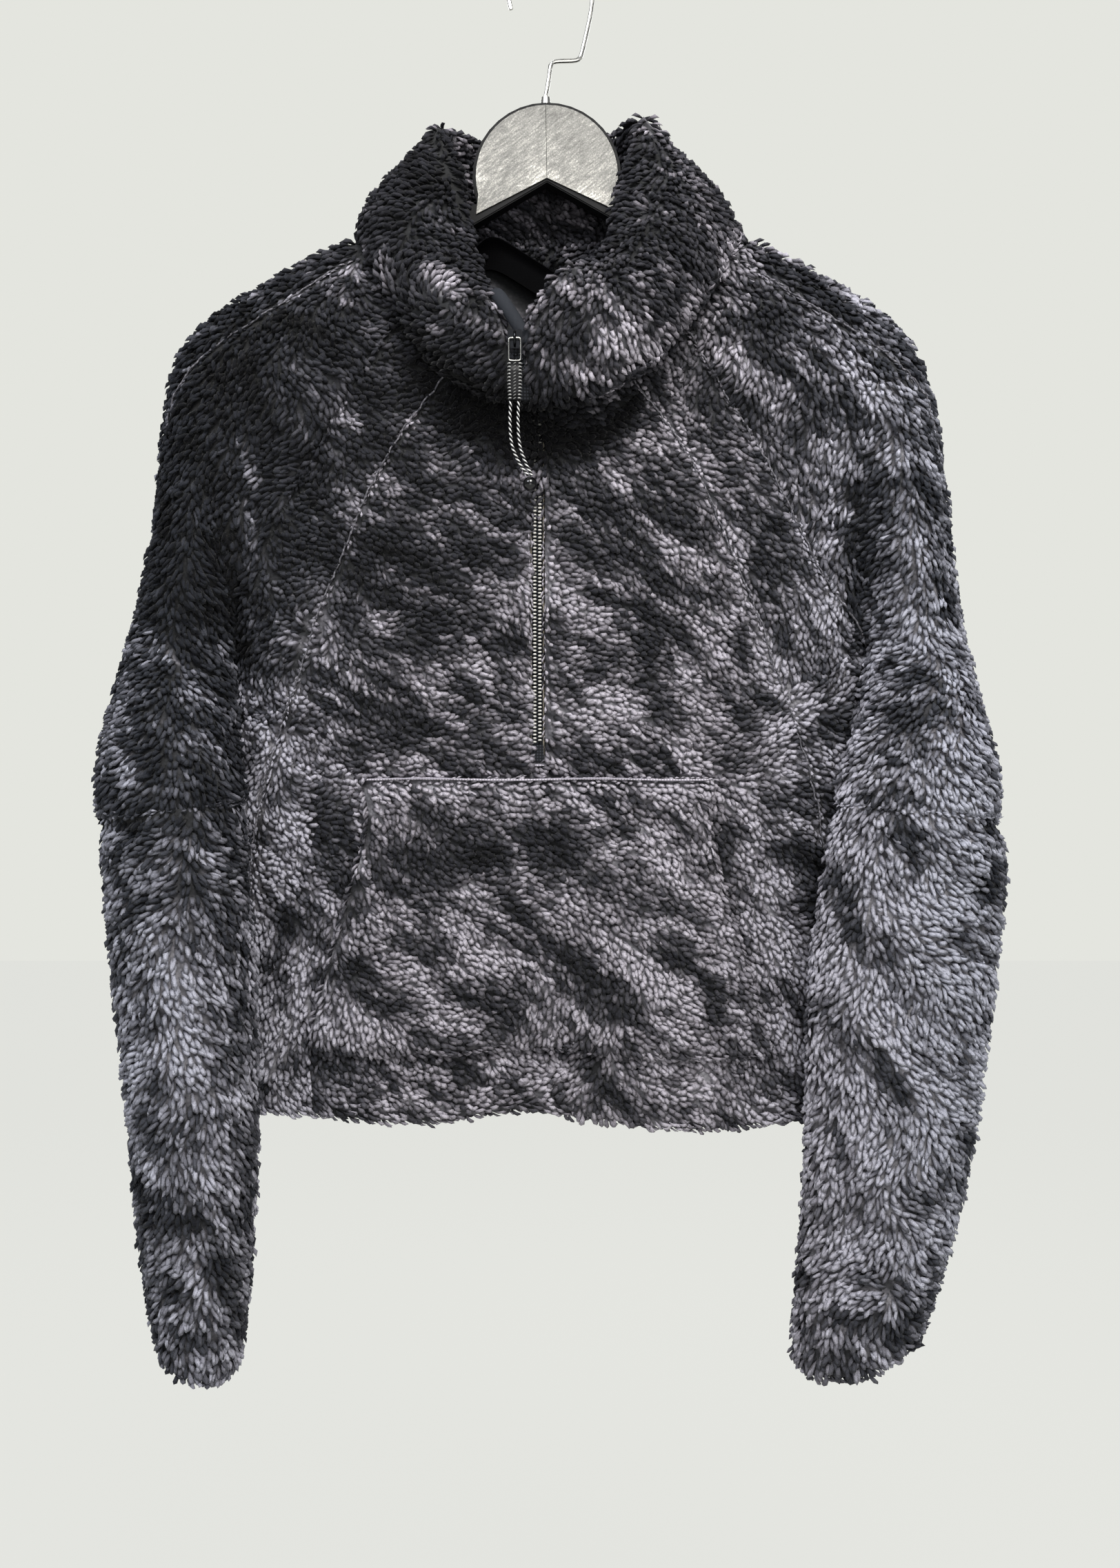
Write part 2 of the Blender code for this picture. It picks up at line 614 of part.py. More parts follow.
def neckline_columns():
    """Neckline points round the neck, at the columns of the panels below the collar."""
    top = NECK_TOP
    right, left = side_front_point("right"), side_front_point("left")
    centre = centre_front_columns(top)
    path = [centre_front_point(t, top) for t in centre[FRONT_CELLS + 1:]]
    faces = ["front"] * len(path)

    def extend(points, face):
        path.extend(points[1:])
        faces.extend([face] * (len(points) - 1))

    extend([right(t, top) for t in even(SIDE_CELLS)], "front")
    extend([sleeve_point("right")(t, top) for t in reversed(sleeve_front_columns(top))], "front")
    extend([sleeve_point("right")(t, top) for t in sleeve_back_columns(top)], "back")
    extend([back_point(t, top) for t in reversed(even(BACK_CELLS))], "back")
    extend([sleeve_point("left")(t, top) for t in reversed(sleeve_back_columns(top))], "back")
    extend([sleeve_point("left")(t, top) for t in sleeve_front_columns(top)], "front")
    extend([left(t, top) for t in reversed(even(SIDE_CELLS))], "front")
    extend([centre_front_point(t, top) for t in centre[:FRONT_CELLS + 1]], "front")
    for i, point in enumerate(path):
        if abs(point.y) < 1e-6 or point.y * (1 if faces[i] == "back" else -1) < 0:
            faces[i] = "back" if point.y > 0 else "front"
    return path, faces


def collar_grids():
    """Outer and inner points of the collar, row by row from the neck seam."""
    path, faces = neckline_columns()
    curves = [collar_point(base, station_place(face, base.x)) for base, face in zip(path, faces)]
    outer = [[curve(level) for curve in curves] for level in COLLAR_LEVELS]
    inner = []
    last = len(curves) - 1
    for r, level in enumerate(COLLAR_LEVELS):
        line = []
        for c, curve in enumerate(curves):
            across = outer[r][min(c + 1, last)] - outer[r][max(c - 1, 0)]
            up = curve(min(1.0, level + 0.02)) - curve(max(0.0, level - 0.02))
            outwards = across.cross(up)
            if c in (0, last):
                outwards.x = 0.0
            line.append(outer[r][c] - outwards.normalized() * COLLAR_CLOTH)
        inner.append(line)
    return outer, inner


def make_collar():
    """Stand collar, split above the zip, standing off the neckline by the seam gap."""
    outer, inner = collar_grids()
    shell("collar", outer, inner, FLEECE)


def front_frame(x, row):
    """Outer point of the centre front and its outward normal."""
    def point(t, level):
        return face_point("front", x + 100 * t, level)
    return point(0, row), normal_of(point, 0.0, row, (-1.0, 1.0), 1)


def make_pocket():
    """Kangaroo pocket, its points taken from the front panel and moved out."""
    outer, inner = [], []
    for row in even(8, POCKET_TOP, POCKET_FOOT):
        half = pocket_half(row)
        lines = ([], [])
        for t in even(14, -1, 1):
            point, normal = front_frame(CENTRE_X + half * t, row)
            share = (POCKET_TOP - row) / (POCKET_TOP - POCKET_FOOT)
            lift = SEAT + POUCH * (1 - MOUTH_PRESS * t * t) * sin(pi * share) ** 0.7
            lines[0].append(point + normal * (lift + POCKET_CLOTH))
            lines[1].append(point + normal * lift)
        outer.append(lines[0])
        inner.append(lines[1])
    shell("pocket", outer, inner, FLEECE)


def strip(name, frames, half, low, high, finish, parent=GARMENT):
    """Flat strip along frames of a point and its normal, between two heights on the normal."""
    grids = ([], [])
    for i, (point, normal) in enumerate(frames):
        run = frames[min(i + 1, len(frames) - 1)][0] - frames[max(i - 1, 0)][0]
        width = run.cross(normal).normalized() * half
        for grid, lift in zip(grids, (high, low)):
            grid.append([point - width + normal * lift, point + normal * lift, point + width + normal * lift])
    return shell(name, grids[0], grids[1], finish, parent=parent)


def make_chest_zip():
    """Tape and tooth chain that fill the slit of the centre front."""
    rows = [row for row in BODY_ROWS if SLOT_END < row < NECK_TOP]
    tape = [front_frame(CENTRE_X, row) for row in rows + [SLOT_END + 0.3]]
    strip("zip_tape", tape, TAPE_HALF, -TAPE_SINK, -TAPE_SINK + TAPE_THICK, TAPE)
    chain = [front_frame(CENTRE_X, row) for row in rows if row > CHAIN_END]
    chain.append(front_frame(CENTRE_X, CHAIN_END))
    base = -TAPE_SINK + TAPE_THICK + SEAM_GAP
    strip("zip_chain", chain, CHAIN_HALF, base, base + CHAIN_THICK, STEEL)
    tab = [front_frame(CENTRE_X, row) for row in (CHAIN_END - 0.6, SLOT_END + 6, SLOT_END + 0.5)]
    strip("zip_tab", tab, CHAIN_HALF + 0.9, base, base + 1.8, TAPE)


def slit_edges():
    """The two edges of the collar's slit, as functions of a level up the collar."""
    edges = []
    for x, place in ((CENTRE_X + SLOT_HALF, 0.0), (CENTRE_X - SLOT_HALF, float(len(COLLAR) - 1))):
        edges.append(collar_point(face_point("front", x, NECK_TOP), place))
    return edges


def collar_zip_frames(levels):
    """Middle points of the collar's slit and its outward normals."""
    right, left = slit_edges()
    frames = []
    for level in levels:
        up = (right(level + 0.01) + left(level + 0.01) - right(level - 0.01) - left(level - 0.01)) / 2
        frames.append(((right(level) + left(level)) / 2, Vector((1, 0, 0)).cross(up).normalized()))
    return frames


def make_collar_zip():
    """Zip that fills the collar's slit, the slider at its top, and the guard above it."""
    right, left = slit_edges()
    grids = ([], [])
    levels = even(7, 0.1, CREST_LEVEL + 0.03)
    for level, (middle, normal) in zip(levels, collar_zip_frames(levels)):
        half = (right(level) - left(level)) / 2
        half *= min(1.0, TAPE_HALF / half.length)
        for grid, lift in zip(grids, (0.0, -ZIP_COLLAR_THICK)):
            grid.append([middle + normal * lift + half * share for share in (-1, 0, 1)])
    shell("zip_collar", *grids, TAPE)
    make_slider(*slider_frame())
    guard = collar_zip_frames(even(4, CREST_LEVEL + 0.05, CREST_LEVEL + 0.24))
    guard = [(point + Vector((-0.8 * i, 0, 0)), out) for i, (point, out) in enumerate(guard)]
    strip("chin_guard", guard, TAPE_HALF - 0.4, -2.2, 0.4, TAPE)


def box(name, size, place, turn, finish, parent, bevel=0.6):
    """Bevelled block of a given size, in millimetres."""
    mesh = bmesh.new()
    bmesh.ops.create_cube(mesh, size=1.0)
    bmesh.ops.scale(mesh, vec=Vector(size) * MM, verts=mesh.verts)
    bmesh.ops.bevel(mesh, geom=mesh.edges[:], offset=bevel * MM, segments=2, affect="EDGES")
    mesh.transform(Matrix.Translation(Vector(place) * MM) @ turn.to_4x4())
    data = bpy.data.meshes.new(name)
    mesh.to_mesh(data)
    mesh.free()
    return add_object(name, data, finish, parent)


def slider_frame():
    """Centre of the slider on the collar's zip, its outward normal and its length's direction."""
    place, normal = collar_zip_frames([CREST_LEVEL])[0]
    up = normal.cross(Vector((1, 0, 0))).normalized()
    up = up if up.z > 0 else -up
    return place + normal * (2 * SEAM_GAP + SLIDER[1] / 2), normal, up


def hinge_point():
    """Middle of the pull's wire where it hangs in the slider's bridge."""
    centre, normal, _ = slider_frame()
    return centre + normal * (SLIDER[1] / 2 + SEAM_GAP + BRIDGE_RISE - BRIDGE_WIRE - LOOP_WIRE)


def make_slider(centre, normal, up):
    """Slider body lying on the chain, with the arched bridge that holds the pull's wire."""
    turn = Matrix((Vector((1, 0, 0)), -normal, up)).transposed()
    box("zip_slider", SLIDER, centre, turn, BLACK_METAL, GARMENT)
    points = []
    for angle in even(8, 0, pi):
        lift = SLIDER[1] / 2 + 2 * SEAM_GAP + BRIDGE_RISE * sin(angle)
        points.append(centre + up * BRIDGE_FOOT * cos(angle) + normal * lift)
    wire("slider_bridge", points, BRIDGE_WIRE, BLACK_METAL, GARMENT)


def wire(name, points, radius, finish, parent, cyclic=False, resolution=2):
    """Round wire along points, in millimetres."""
    data = bpy.data.curves.new(name, "CURVE")
    data.dimensions = "3D"
    data.bevel_depth = radius * MM
    data.bevel_resolution = resolution
    data.use_fill_caps = not cyclic
    spline = data.splines.new("POLY")
    spline.points.add(len(points) - 1)
    for knot, point in zip(spline.points, points):
        knot.co = (*(Vector(point) * MM), 1.0)
    spline.use_cyclic_u = cyclic
    return add_object(name, data, finish, parent)


def smooth_path(points, steps):
    """Evenly stepped points on a smooth curve through the given ones."""
    knots = [Vector(point) for point in points]
    return [hermite(knots, i * (len(knots) - 1) / steps) for i in range(steps + 1)]


def make_pull():
    """Wire loop, cord binding, two strands and the bead, hinged at the slider's bridge."""
    hinge = hinge_point()
    group = add_group("zip_pull", hinge)
    corner = 1.2
    loop = []
    for x_sign, drop, start in ((1, 0, 0), (-1, 0, 90), (-1, LOOP_DROP, 180), (1, LOOP_DROP, 270)):
        inset = -corner if drop == 0 else corner
        middle = hinge + Vector((x_sign * (LOOP_HALF - corner), 0, inset - drop))
        for step in range(4):
            angle = radians(start + 30 * step)
            loop.append(middle + Vector((corner * cos(angle), 0, corner * sin(angle))))
    wire("pull_loop", loop, LOOP_WIRE, STEEL, group, cyclic=True)
    wrap_top = hinge.z - LOOP_DROP - LOOP_WIRE - SEAM_GAP
    wrap = Vector((hinge.x, hinge.y, wrap_top - WRAP_LONG / 2))
    box("pull_wrap", (2 * WRAP_HALF, WRAP_THICK, WRAP_LONG), wrap, Matrix.Identity(3), CORD, group, bevel=1.6)
    bead = hinge + Vector((BEAD_ASIDE, 0, -BEAD_DROP))
    foot = wrap_top - WRAP_LONG - SEAM_GAP
    drop = foot - bead.z - BEAD_RADIUS - 2.5 * SEAM_GAP
    for strand in STRANDS:
        path = []
        for step in CORD_PATH:
            x = strand.start * (1 - step.across) + (BEAD_ASIDE + strand.start / 2) * step.across
            x += strand.bow * step.across * (1 - step.across)
            path.append((hinge.x + x, hinge.y, foot - drop * step.down))
        wire(strand.name, smooth_path(path, 24), CORD_RADIUS, CORD, group)
    mesh = bmesh.new()
    bmesh.ops.create_uvsphere(mesh, u_segments=16, v_segments=10, radius=BEAD_RADIUS * MM)
    mesh.transform(Matrix.Translation(bead * MM))
    data = bpy.data.meshes.new("pull_bead")
    mesh.to_mesh(data)
    mesh.free()
    data.shade_smooth()
    add_object("pull_bead", data, BLACK_PLASTIC, group)


def make_neck_tape():
    """Smooth tape inside the back neck, just under the collar seam."""
    outer, inner = [], []
    for drop in (3.0, 9.0, 15.0):
        lines = ([], [])
        for t in even(12, -0.52, 0.52):
            def point(u, row):
                return face_point("back", NECK_HALF * u, row)
            row = NECK_TOP - drop
            normal = normal_of(point, t, row, (-1.0, 1.0), -1)
            lines[0].append(point(t, row) - normal * (CLOTH + 0.5))
            lines[1].append(point(t, row) - normal * (CLOTH + 1.6))
        outer.append(lines[0])
        inner.append(lines[1])
    shell("neck_tape", outer, inner, TAPE)


def ridge_height(side, x):
    """Height of the shoulder line at x."""
    low, high = -260.0, NECK_TOP
    for _ in range(40):
        middle = (low + high) / 2
        low, high = (low, middle) if OUTER[side](middle) < x else (middle, high)
    return low


def roll(x, z):
    """Point of the hanger, tilted about its ferrule."""
    return (FERRULE_X + x * cos(HANGER_ROLL) - z * sin(HANGER_ROLL),
            FERRULE_FOOT + x * sin(HANGER_ROLL) + z * cos(HANGER_ROLL))


def plate(name, outline, low, high, finish, bevel):
    """Flat plate of an outline in X and Z, between two places in Y."""
    data = bpy.data.curves.new(name + "_outline", "CURVE")
    data.dimensions = "2D"
    data.fill_mode = "BOTH"
    data.extrude = (high - low) / 2 * MM
    spline = data.splines.new("POLY")
    spline.points.add(len(outline) - 1)
    for knot, (x, z) in zip(spline.points, outline):
        knot.co = (x * MM, z * MM, 0.0, 1.0)
    spline.use_cyclic_u = True
    guide = bpy.data.objects.new(name + "_outline", data)
    guide.matrix_world = Matrix.Translation((0, (low + high) / 2 * MM, 0)) @ Matrix.Rotation(pi / 2, 4, "X")
    COLLECTIONS["cutters"].objects.link(guide)
    bpy.context.view_layer.update()
    solid = bpy.data.meshes.new_from_object(guide.evaluated_get(bpy.context.evaluated_depsgraph_get()))
    mesh = bmesh.new()
    mesh.from_mesh(solid)
    bmesh.ops.remove_doubles(mesh, verts=mesh.verts, dist=1e-6)
    mesh.transform(guide.matrix_world)
    bmesh.ops.recalc_face_normals(mesh, faces=mesh.faces)
    if bevel:
        rims = [edge for edge in mesh.edges if abs(edge.verts[0].co.y - edge.verts[1].co.y) < 1e-7
                and len(edge.link_faces) == 2 and edge.calc_face_angle() > radians(60)]
        bmesh.ops.bevel(mesh, geom=rims, offset=bevel * MM, segments=2, affect="EDGES", clamp_overlap=True)
    mesh.to_mesh(solid)
    mesh.free()
    solid.name = name
    bpy.data.objects.remove(guide, do_unlink=True)
    return add_object(name, solid, finish, HANGER)


def neck_arc(radius, first, last, count):
    """Points of the hanger's arch, angles in degrees from its right side."""
    turns = [radians(angle) for angle in even(count, first, last)]
    return [(radius * cos(turn), radius * sin(turn) - NECK_DROP) for turn in turns]


def make_hanger():
    """Flat hanger with an arched neck, two front plates, a ferrule and a wire hook."""
    sides = {}
    for side, sign in (("left", -1), ("right", 1)):
        tip = ridge_height(side, ARM_TIP) - ARM_CLEAR
        arm = [(sign * x, ridge_height(side, x) - ARM_CLEAR) for x in even(4, ARM_ROOT, ARM_TIP)]
        arm += [(sign * (ARM_TIP + 4), tip - 7), (sign * (ARM_TIP + 2), tip - 17)]
        sides[side] = arm + [(sign * ARM_ROOT, ridge_height(side, ARM_ROOT) - ARM_CLEAR - 24)]
    arch = [roll(*point) for point in neck_arc(NECK_RADIUS, -20, 200, 22)]
    outline = [roll(0, -VEE_DROP)] + list(reversed(sides["left"])) + list(reversed(arch)) + sides["right"]
    plate("hanger_body", outline, -HANGER_THICK / 2, HANGER_THICK / 2, BLACK_PLASTIC, 2.0)
    face = -HANGER_THICK / 2 - 0.3
    for name, sign in (("hanger_plate_left", -1), ("hanger_plate_right", 1)):
        arc = neck_arc(NECK_RADIUS - PLATE_RIM, 89.5, -14, 14)
        tip_x = arc[-1][0] + 1.5
        half = [(PLATE_JOINT / 2, arc[0][1])] + arc[1:]
        half.append((tip_x, -VEE_DROP - VEE_SLOPE * tip_x + PLATE_RIM))
        half.append((PLATE_JOINT / 2, -VEE_DROP + PLATE_RIM))
        outline = [roll(sign * x, z) for x, z in half]
        plate(name, outline, face - PLATE_THICK, face, SILVER_FOIL, 0)
    make_hook()


def make_hook():
    """Ferrule and the square-bent wire hook above it."""
    mesh = bmesh.new()
    bmesh.ops.create_cone(mesh, cap_ends=True, segments=24, radius1=FERRULE_RADIUS * MM,
                          radius2=FERRULE_RADIUS * 0.8 * MM, depth=FERRULE_HIGH * MM)
    mesh.transform(Matrix.Translation(Vector((FERRULE_X, 0, FERRULE_FOOT + FERRULE_HIGH / 2)) * MM))
    data = bpy.data.meshes.new("hanger_ferrule")
    mesh.to_mesh(data)
    mesh.free()
    data.shade_smooth()
    add_object("hanger_ferrule", data, STEEL, HANGER)
    path = [(FERRULE_X, FERRULE_FOOT + FERRULE_HIGH + SEAM_GAP), (STEM_X, JOG_Z - 10)]
    for angle in (30, 60, 90):
        turn = radians(angle)
        path.append((STEM_X + JOG_BEND * (1 - cos(turn)), JOG_Z - JOG_BEND * (1 - sin(turn))))
    for angle in (0, 30, 60, 85):
        turn = radians(angle)
        path.append((JOG_X + JOG_BEND * sin(turn), JOG_Z + JOG_BEND * (1 - cos(turn))))
    path += [(JOG_X + 8.5, -48), (HOOK_RADIUS - 0.8, -36)]
    centre = WIRE_RADIUS - HOOK_RADIUS
    for angle in range(0, 204, 8):
        turn = radians(angle)
        path.append((HOOK_RADIUS * cos(turn), centre + HOOK_RADIUS * sin(turn)))
    wire("hanger_hook", [(x, 0, z) for x, z in path], WIRE_RADIUS, STEEL, HANGER, resolution=3)


make_panels()
make_collar()
make_pocket()
make_chest_zip()
make_collar_zip()
make_neck_tape()
make_hanger()
make_pull()
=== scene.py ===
"""Looks of a sherpa half-zip pullover on its hanger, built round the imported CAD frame.

Tables and sizes are in millimetres and become metres when a mesh is made. X runs to the right
seen from the front, Z up, and the front faces -Y, as in the CAD. Every cloth panel is a thin
shell of ground fabric on its CAD solid's form, with a separate coat of pile locks on it.
"""
from __future__ import annotations

import logging
import math
from collections.abc import Iterable
from dataclasses import dataclass, field
from enum import Enum

import bmesh
import bpy
import numpy as np
from mathutils import Matrix, Vector
from mathutils.bvhtree import BVHTree
from mathutils.kdtree import KDTree

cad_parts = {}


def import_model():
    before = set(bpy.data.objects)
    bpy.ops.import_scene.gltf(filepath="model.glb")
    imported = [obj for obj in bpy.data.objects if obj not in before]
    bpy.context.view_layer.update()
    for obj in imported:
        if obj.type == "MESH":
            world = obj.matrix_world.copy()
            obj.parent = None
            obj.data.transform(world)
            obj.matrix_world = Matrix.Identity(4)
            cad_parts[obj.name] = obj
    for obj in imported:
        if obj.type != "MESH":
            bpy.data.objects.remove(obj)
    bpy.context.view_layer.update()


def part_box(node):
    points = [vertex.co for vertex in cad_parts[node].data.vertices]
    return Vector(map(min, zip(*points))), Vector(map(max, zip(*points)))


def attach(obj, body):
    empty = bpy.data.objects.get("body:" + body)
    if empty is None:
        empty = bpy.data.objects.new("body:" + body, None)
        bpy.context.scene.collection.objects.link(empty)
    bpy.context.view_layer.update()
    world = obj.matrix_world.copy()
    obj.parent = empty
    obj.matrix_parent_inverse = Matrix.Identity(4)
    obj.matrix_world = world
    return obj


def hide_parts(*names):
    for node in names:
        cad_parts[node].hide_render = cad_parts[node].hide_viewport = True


LOG = logging.getLogger("pullover")
MM = 0.001
COAT = "pullover"          # body of the garment and its hanger
PULL = "zip_pull"          # body of the hinged pull
CENTRE_X = -8.0            # the zip's line

Colour = tuple[float, float, float, float]
Stops = list[tuple[float, str | Colour]]


# ---------------------------------------------------------------- small helpers


def linear(colour: str, share: float = 1.0) -> Colour:
    """Turn an sRGB hex colour into linear RGBA.

    Args:
        colour: Six hex digits after a hash.
        share: Brightness against the given colour's.

    Returns:
        Linear red, green, blue and an alpha of 1.
    """
    parts = [int(colour[i:i + 2], 16) / 255 for i in (1, 3, 5)]
    light = [c / 12.92 if c <= 0.04045 else ((c + 0.055) / 1.055) ** 2.4 for c in parts]
    return (*(min(1.0, share * c) for c in light), 1.0)


def add_node(tree: bpy.types.NodeTree, kind: str, inputs: dict | None = None, stops: Stops | None = None,
             **settings: object) -> bpy.types.Node:
    """Add a node with its settings, and link or set its inputs.

    Args:
        tree: The tree that the node goes in.
        kind: The node's type name.
        inputs: Nodes to link by their first output, sockets to link or values to set, by input name or number.
        stops: Places and colours of a colour ramp, as hex or linear colours.
        **settings: The node's own properties.

    Returns:
        The new node.
    """
    node = tree.nodes.new(kind)
    for name, value in settings.items():
        setattr(node, name, value)
    for key, value in (inputs or {}).items():
        if isinstance(value, bpy.types.Node):
            value = value.outputs[0]
        if isinstance(value, bpy.types.NodeSocket):
            tree.links.new(value, node.inputs[key])
        else:
            node.inputs[key].default_value = value
    if stops:
        elements = node.color_ramp.elements
        while len(elements) < len(stops):
            elements.new(0.5)
        for element, (place, colour) in zip(elements, stops):
            element.position, element.color = place, linear(colour) if isinstance(colour, str) else colour
    return node


def smooth_step(value: np.ndarray | float) -> np.ndarray | float:
    """Smooth step from 0 to 1."""
    value = np.clip(value, 0.0, 1.0)
    return value * value * (3 - 2 * value)


def new_object(name: str, mesh: bpy.types.Mesh, *finishes: Finish) -> bpy.types.Object:
    """Link a mesh into the scene as an object with the given finishes.

    Args:
        name: Name of the object and its mesh.
        mesh: Its mesh, in metres in the row frame.
        *finishes: What its material slots wear, in order.

    Returns:
        The new object.
    """
    mesh.name = name
    made = bpy.data.objects.new(name, mesh)
    bpy.context.scene.collection.objects.link(made)
    mesh.materials.clear()
    for finish in finishes:
        mesh.materials.append(finish.material())
    return made


def mesh_from(work: bmesh.types.BMesh, mesh: bpy.types.Mesh) -> bpy.types.Mesh:
    """Write a working mesh into a mesh and free it.

    Args:
        work: The working mesh.
        mesh: The mesh that takes its shape.

    Returns:
        The same mesh.
    """
    work.to_mesh(mesh)
    work.free()
    return mesh


def mesh_of(name: str, points: list, faces: list, closed: bool = True) -> bpy.types.Mesh:
    """Make a smooth-shaded mesh from points in millimetres.

    Args:
        name: The mesh's name.
        points: Its vertices, in millimetres.
        faces: Its faces, as vertex numbers.
        closed: Whether it is a closed shape, whose faces are turned outwards.

    Returns:
        The new mesh, in metres.
    """
    mesh = bpy.data.meshes.new(name)
    mesh.from_pydata([tuple(c * MM for c in p) for p in points], [], faces)
    shade_smooth(mesh)
    if closed:
        work = bmesh.new()
        work.from_mesh(mesh)
        bmesh.ops.recalc_face_normals(work, faces=work.faces)
        mesh_from(work, mesh)
    mesh.update()
    return mesh


def wire_of(name: str, points: list) -> bpy.types.Mesh:
    """Make a mesh of loose edges, one for each two points, in metres.

    Args:
        name: The mesh's name.
        points: The ends of its edges, in pairs.

    Returns:
        The new mesh.
    """
    mesh = bpy.data.meshes.new(name)
    mesh.from_pydata(points, [(i, i + 1) for i in range(0, len(points), 2)], [])
    return mesh


def tube_faces(rings: int, around: int) -> list[tuple[int, ...]]:
    """Faces of a tube that is closed at both ends.

    Args:
        rings: How many rings of points it has, in order.
        around: How many points each ring has.

    Returns:
        The faces, as point numbers.
    """
    faces = [
        (i * around + k, i * around + (k + 1) % around, (i + 1) * around + (k + 1) % around, (i + 1) * around + k)
        for i in range(rings - 1) for k in range(around)
    ]
    return [*faces, tuple(range(around))[::-1], tuple((rings - 1) * around + k for k in range(around))]


def points_of(mesh: bpy.types.Mesh) -> np.ndarray:
    """A mesh's points in millimetres, one row each.

    Args:
        mesh: The mesh.

    Returns:
        Its points.
    """
    flat = np.zeros(len(mesh.vertices) * 3)
    mesh.vertices.foreach_get("co", flat)
    return flat.reshape(-1, 3) / MM


def move_points(mesh: bpy.types.Mesh, points: np.ndarray) -> None:
    """Put a mesh's points at places in millimetres."""
    mesh.vertices.foreach_set("co", (points * MM).ravel())
    mesh.update()


def store(mesh: bpy.types.Mesh, name: str, values: Iterable[float]) -> None:
    """Keep a number for each of a mesh's points as an attribute."""
    mesh.attributes.new(name, "FLOAT", "POINT").data.foreach_set("value", values)


def shade_smooth(mesh: bpy.types.Mesh) -> None:
    """Shade all faces of a mesh smooth."""
    mesh.polygons.foreach_set("use_smooth", [True] * len(mesh.polygons))


def merged_copy(node: str) -> bmesh.types.BMesh:
    """Copy a CAD node's mesh, merge its corners and join its triangles to quads.

    Args:
        node: The CAD node.

    Returns:
        The working mesh.
    """
    work = bmesh.new()
    work.from_mesh(bpy.data.objects[node].data)
    bmesh.ops.remove_doubles(work, verts=work.verts, dist=1e-6)
    bmesh.ops.join_triangles(
        work, faces=work.faces, cmp_seam=False, cmp_sharp=False, cmp_uvs=False, cmp_vcols=False,
        cmp_materials=False, angle_face_threshold=math.radians(30), angle_shape_threshold=math.radians(50),
    )
    return work


def apply_modifiers(obj: bpy.types.Object) -> bpy.types.Object:
    """Bake an object's modifiers into its mesh and take them off.

    Args:
        obj: The object.

    Returns:
        The same object with a plain mesh.
    """
    graph = bpy.context.evaluated_depsgraph_get()
    mesh = bpy.data.meshes.new_from_object(obj.evaluated_get(graph), depsgraph=graph)
    obj.modifiers.clear()
    old, obj.data = obj.data, mesh
    bpy.data.meshes.remove(old)
    mesh.name = obj.name
    return obj


def subdivide(obj: bpy.types.Object, levels: int) -> bpy.types.Object:
    """Round an object with plain subdivision.

    Args:
        obj: The object.
        levels: How many times each face is divided.

    Returns:
        The same object.
    """
    if levels:
        step = obj.modifiers.new("softening", "SUBSURF")
        step.levels = step.render_levels = levels
        apply_modifiers(obj)
    return obj


def smooth_cad(node: str, name: str, finish: Finish, levels: int = 1, sharp: float = 35.0) -> bpy.types.Object:
    """Remake a hard CAD node with smooth curves and crisp edges.

    Args:
        node: The CAD node that the piece stands for.
        name: The piece's name.
        finish: What it wears.
        levels: Subdivision levels.
        sharp: Edges that bend by more than this many degrees stay crisp.

    Returns:
        The new piece, standing for the node.
    """
    work = merged_copy(node)
    crease = work.edges.layers.float.new("crease_edge")
    for edge in work.edges:
        if len(edge.link_faces) == 2 and edge.calc_face_angle() > math.radians(sharp):
            edge[crease] = 1.0
            edge.smooth = False
    for face in work.faces:
        face.smooth = True
    made = subdivide(new_object(name, mesh_from(work, bpy.data.meshes.new(name)), finish), levels)
    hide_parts(node)
    return made


def finish_piece(obj: bpy.types.Object, body: str) -> bpy.types.Object:
    """Put a piece on its body.

    Args:
        obj: The piece.
        body: The body that it rides on.

    Returns:
        The same piece.
    """
    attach(obj, body)
    LOG.info("%s: %d faces", obj.name, len(obj.data.polygons))
    return obj


def run_tree(obj: bpy.types.Object, tree: bpy.types.NodeTree, values: dict) -> bpy.types.Object:
    """Replace an object's mesh by what a Geometry Nodes tree makes of it, shaded smooth.

    Args:
        obj: The object with the mesh to start from.
        tree: The tree.
        values: Its inputs by their names, set by their sockets' identifiers.

    Returns:
        The same object with the tree's mesh.
    """
    step = obj.modifiers.new(tree.name, "NODES")
    step.node_group = tree
    for item in tree.interface.items_tree:
        if item.item_type == "SOCKET" and item.in_out == "INPUT" and item.name in values:
            step[item.identifier] = values[item.name]
    apply_modifiers(obj)
    shade_smooth(obj.data)
    return obj


def geometry_tree(name: str, inputs: dict[str, str]) -> tuple[bpy.types.NodeTree, bpy.types.NodeOutputs]:
    """Start a Geometry Nodes tree.

    Args:
        name: The tree's name.
        inputs: Socket types by input name, after the geometry.

    Returns:
        The tree and the sockets that give its inputs.
    """
    tree = bpy.data.node_groups.new(name, "GeometryNodeTree")
    tree.interface.new_socket("Geometry", in_out="INPUT", socket_type="NodeSocketGeometry")
    for socket, kind in inputs.items():
        tree.interface.new_socket(socket, in_out="INPUT", socket_type=f"NodeSocket{kind}")
    tree.interface.new_socket("Geometry", in_out="OUTPUT", socket_type="NodeSocketGeometry")
    return tree, add_node(tree, "NodeGroupInput").outputs


def end_tree(tree: bpy.types.NodeTree, geometry: bpy.types.Node, material: bpy.types.NodeSocket) -> None:
    """Finish a tree with its instances realized and their material set.

    Args:
        tree: The tree.
        geometry: The node that gives what it has made.
        material: The input that gives the material.
    """
    real = add_node(tree, "GeometryNodeRealizeInstances", {0: geometry})
    dressed = add_node(tree, "GeometryNodeSetMaterial", {"Geometry": real, "Material": material})
    add_node(tree, "NodeGroupOutput", {0: dressed})


# ---------------------------------------------------------------- finishes


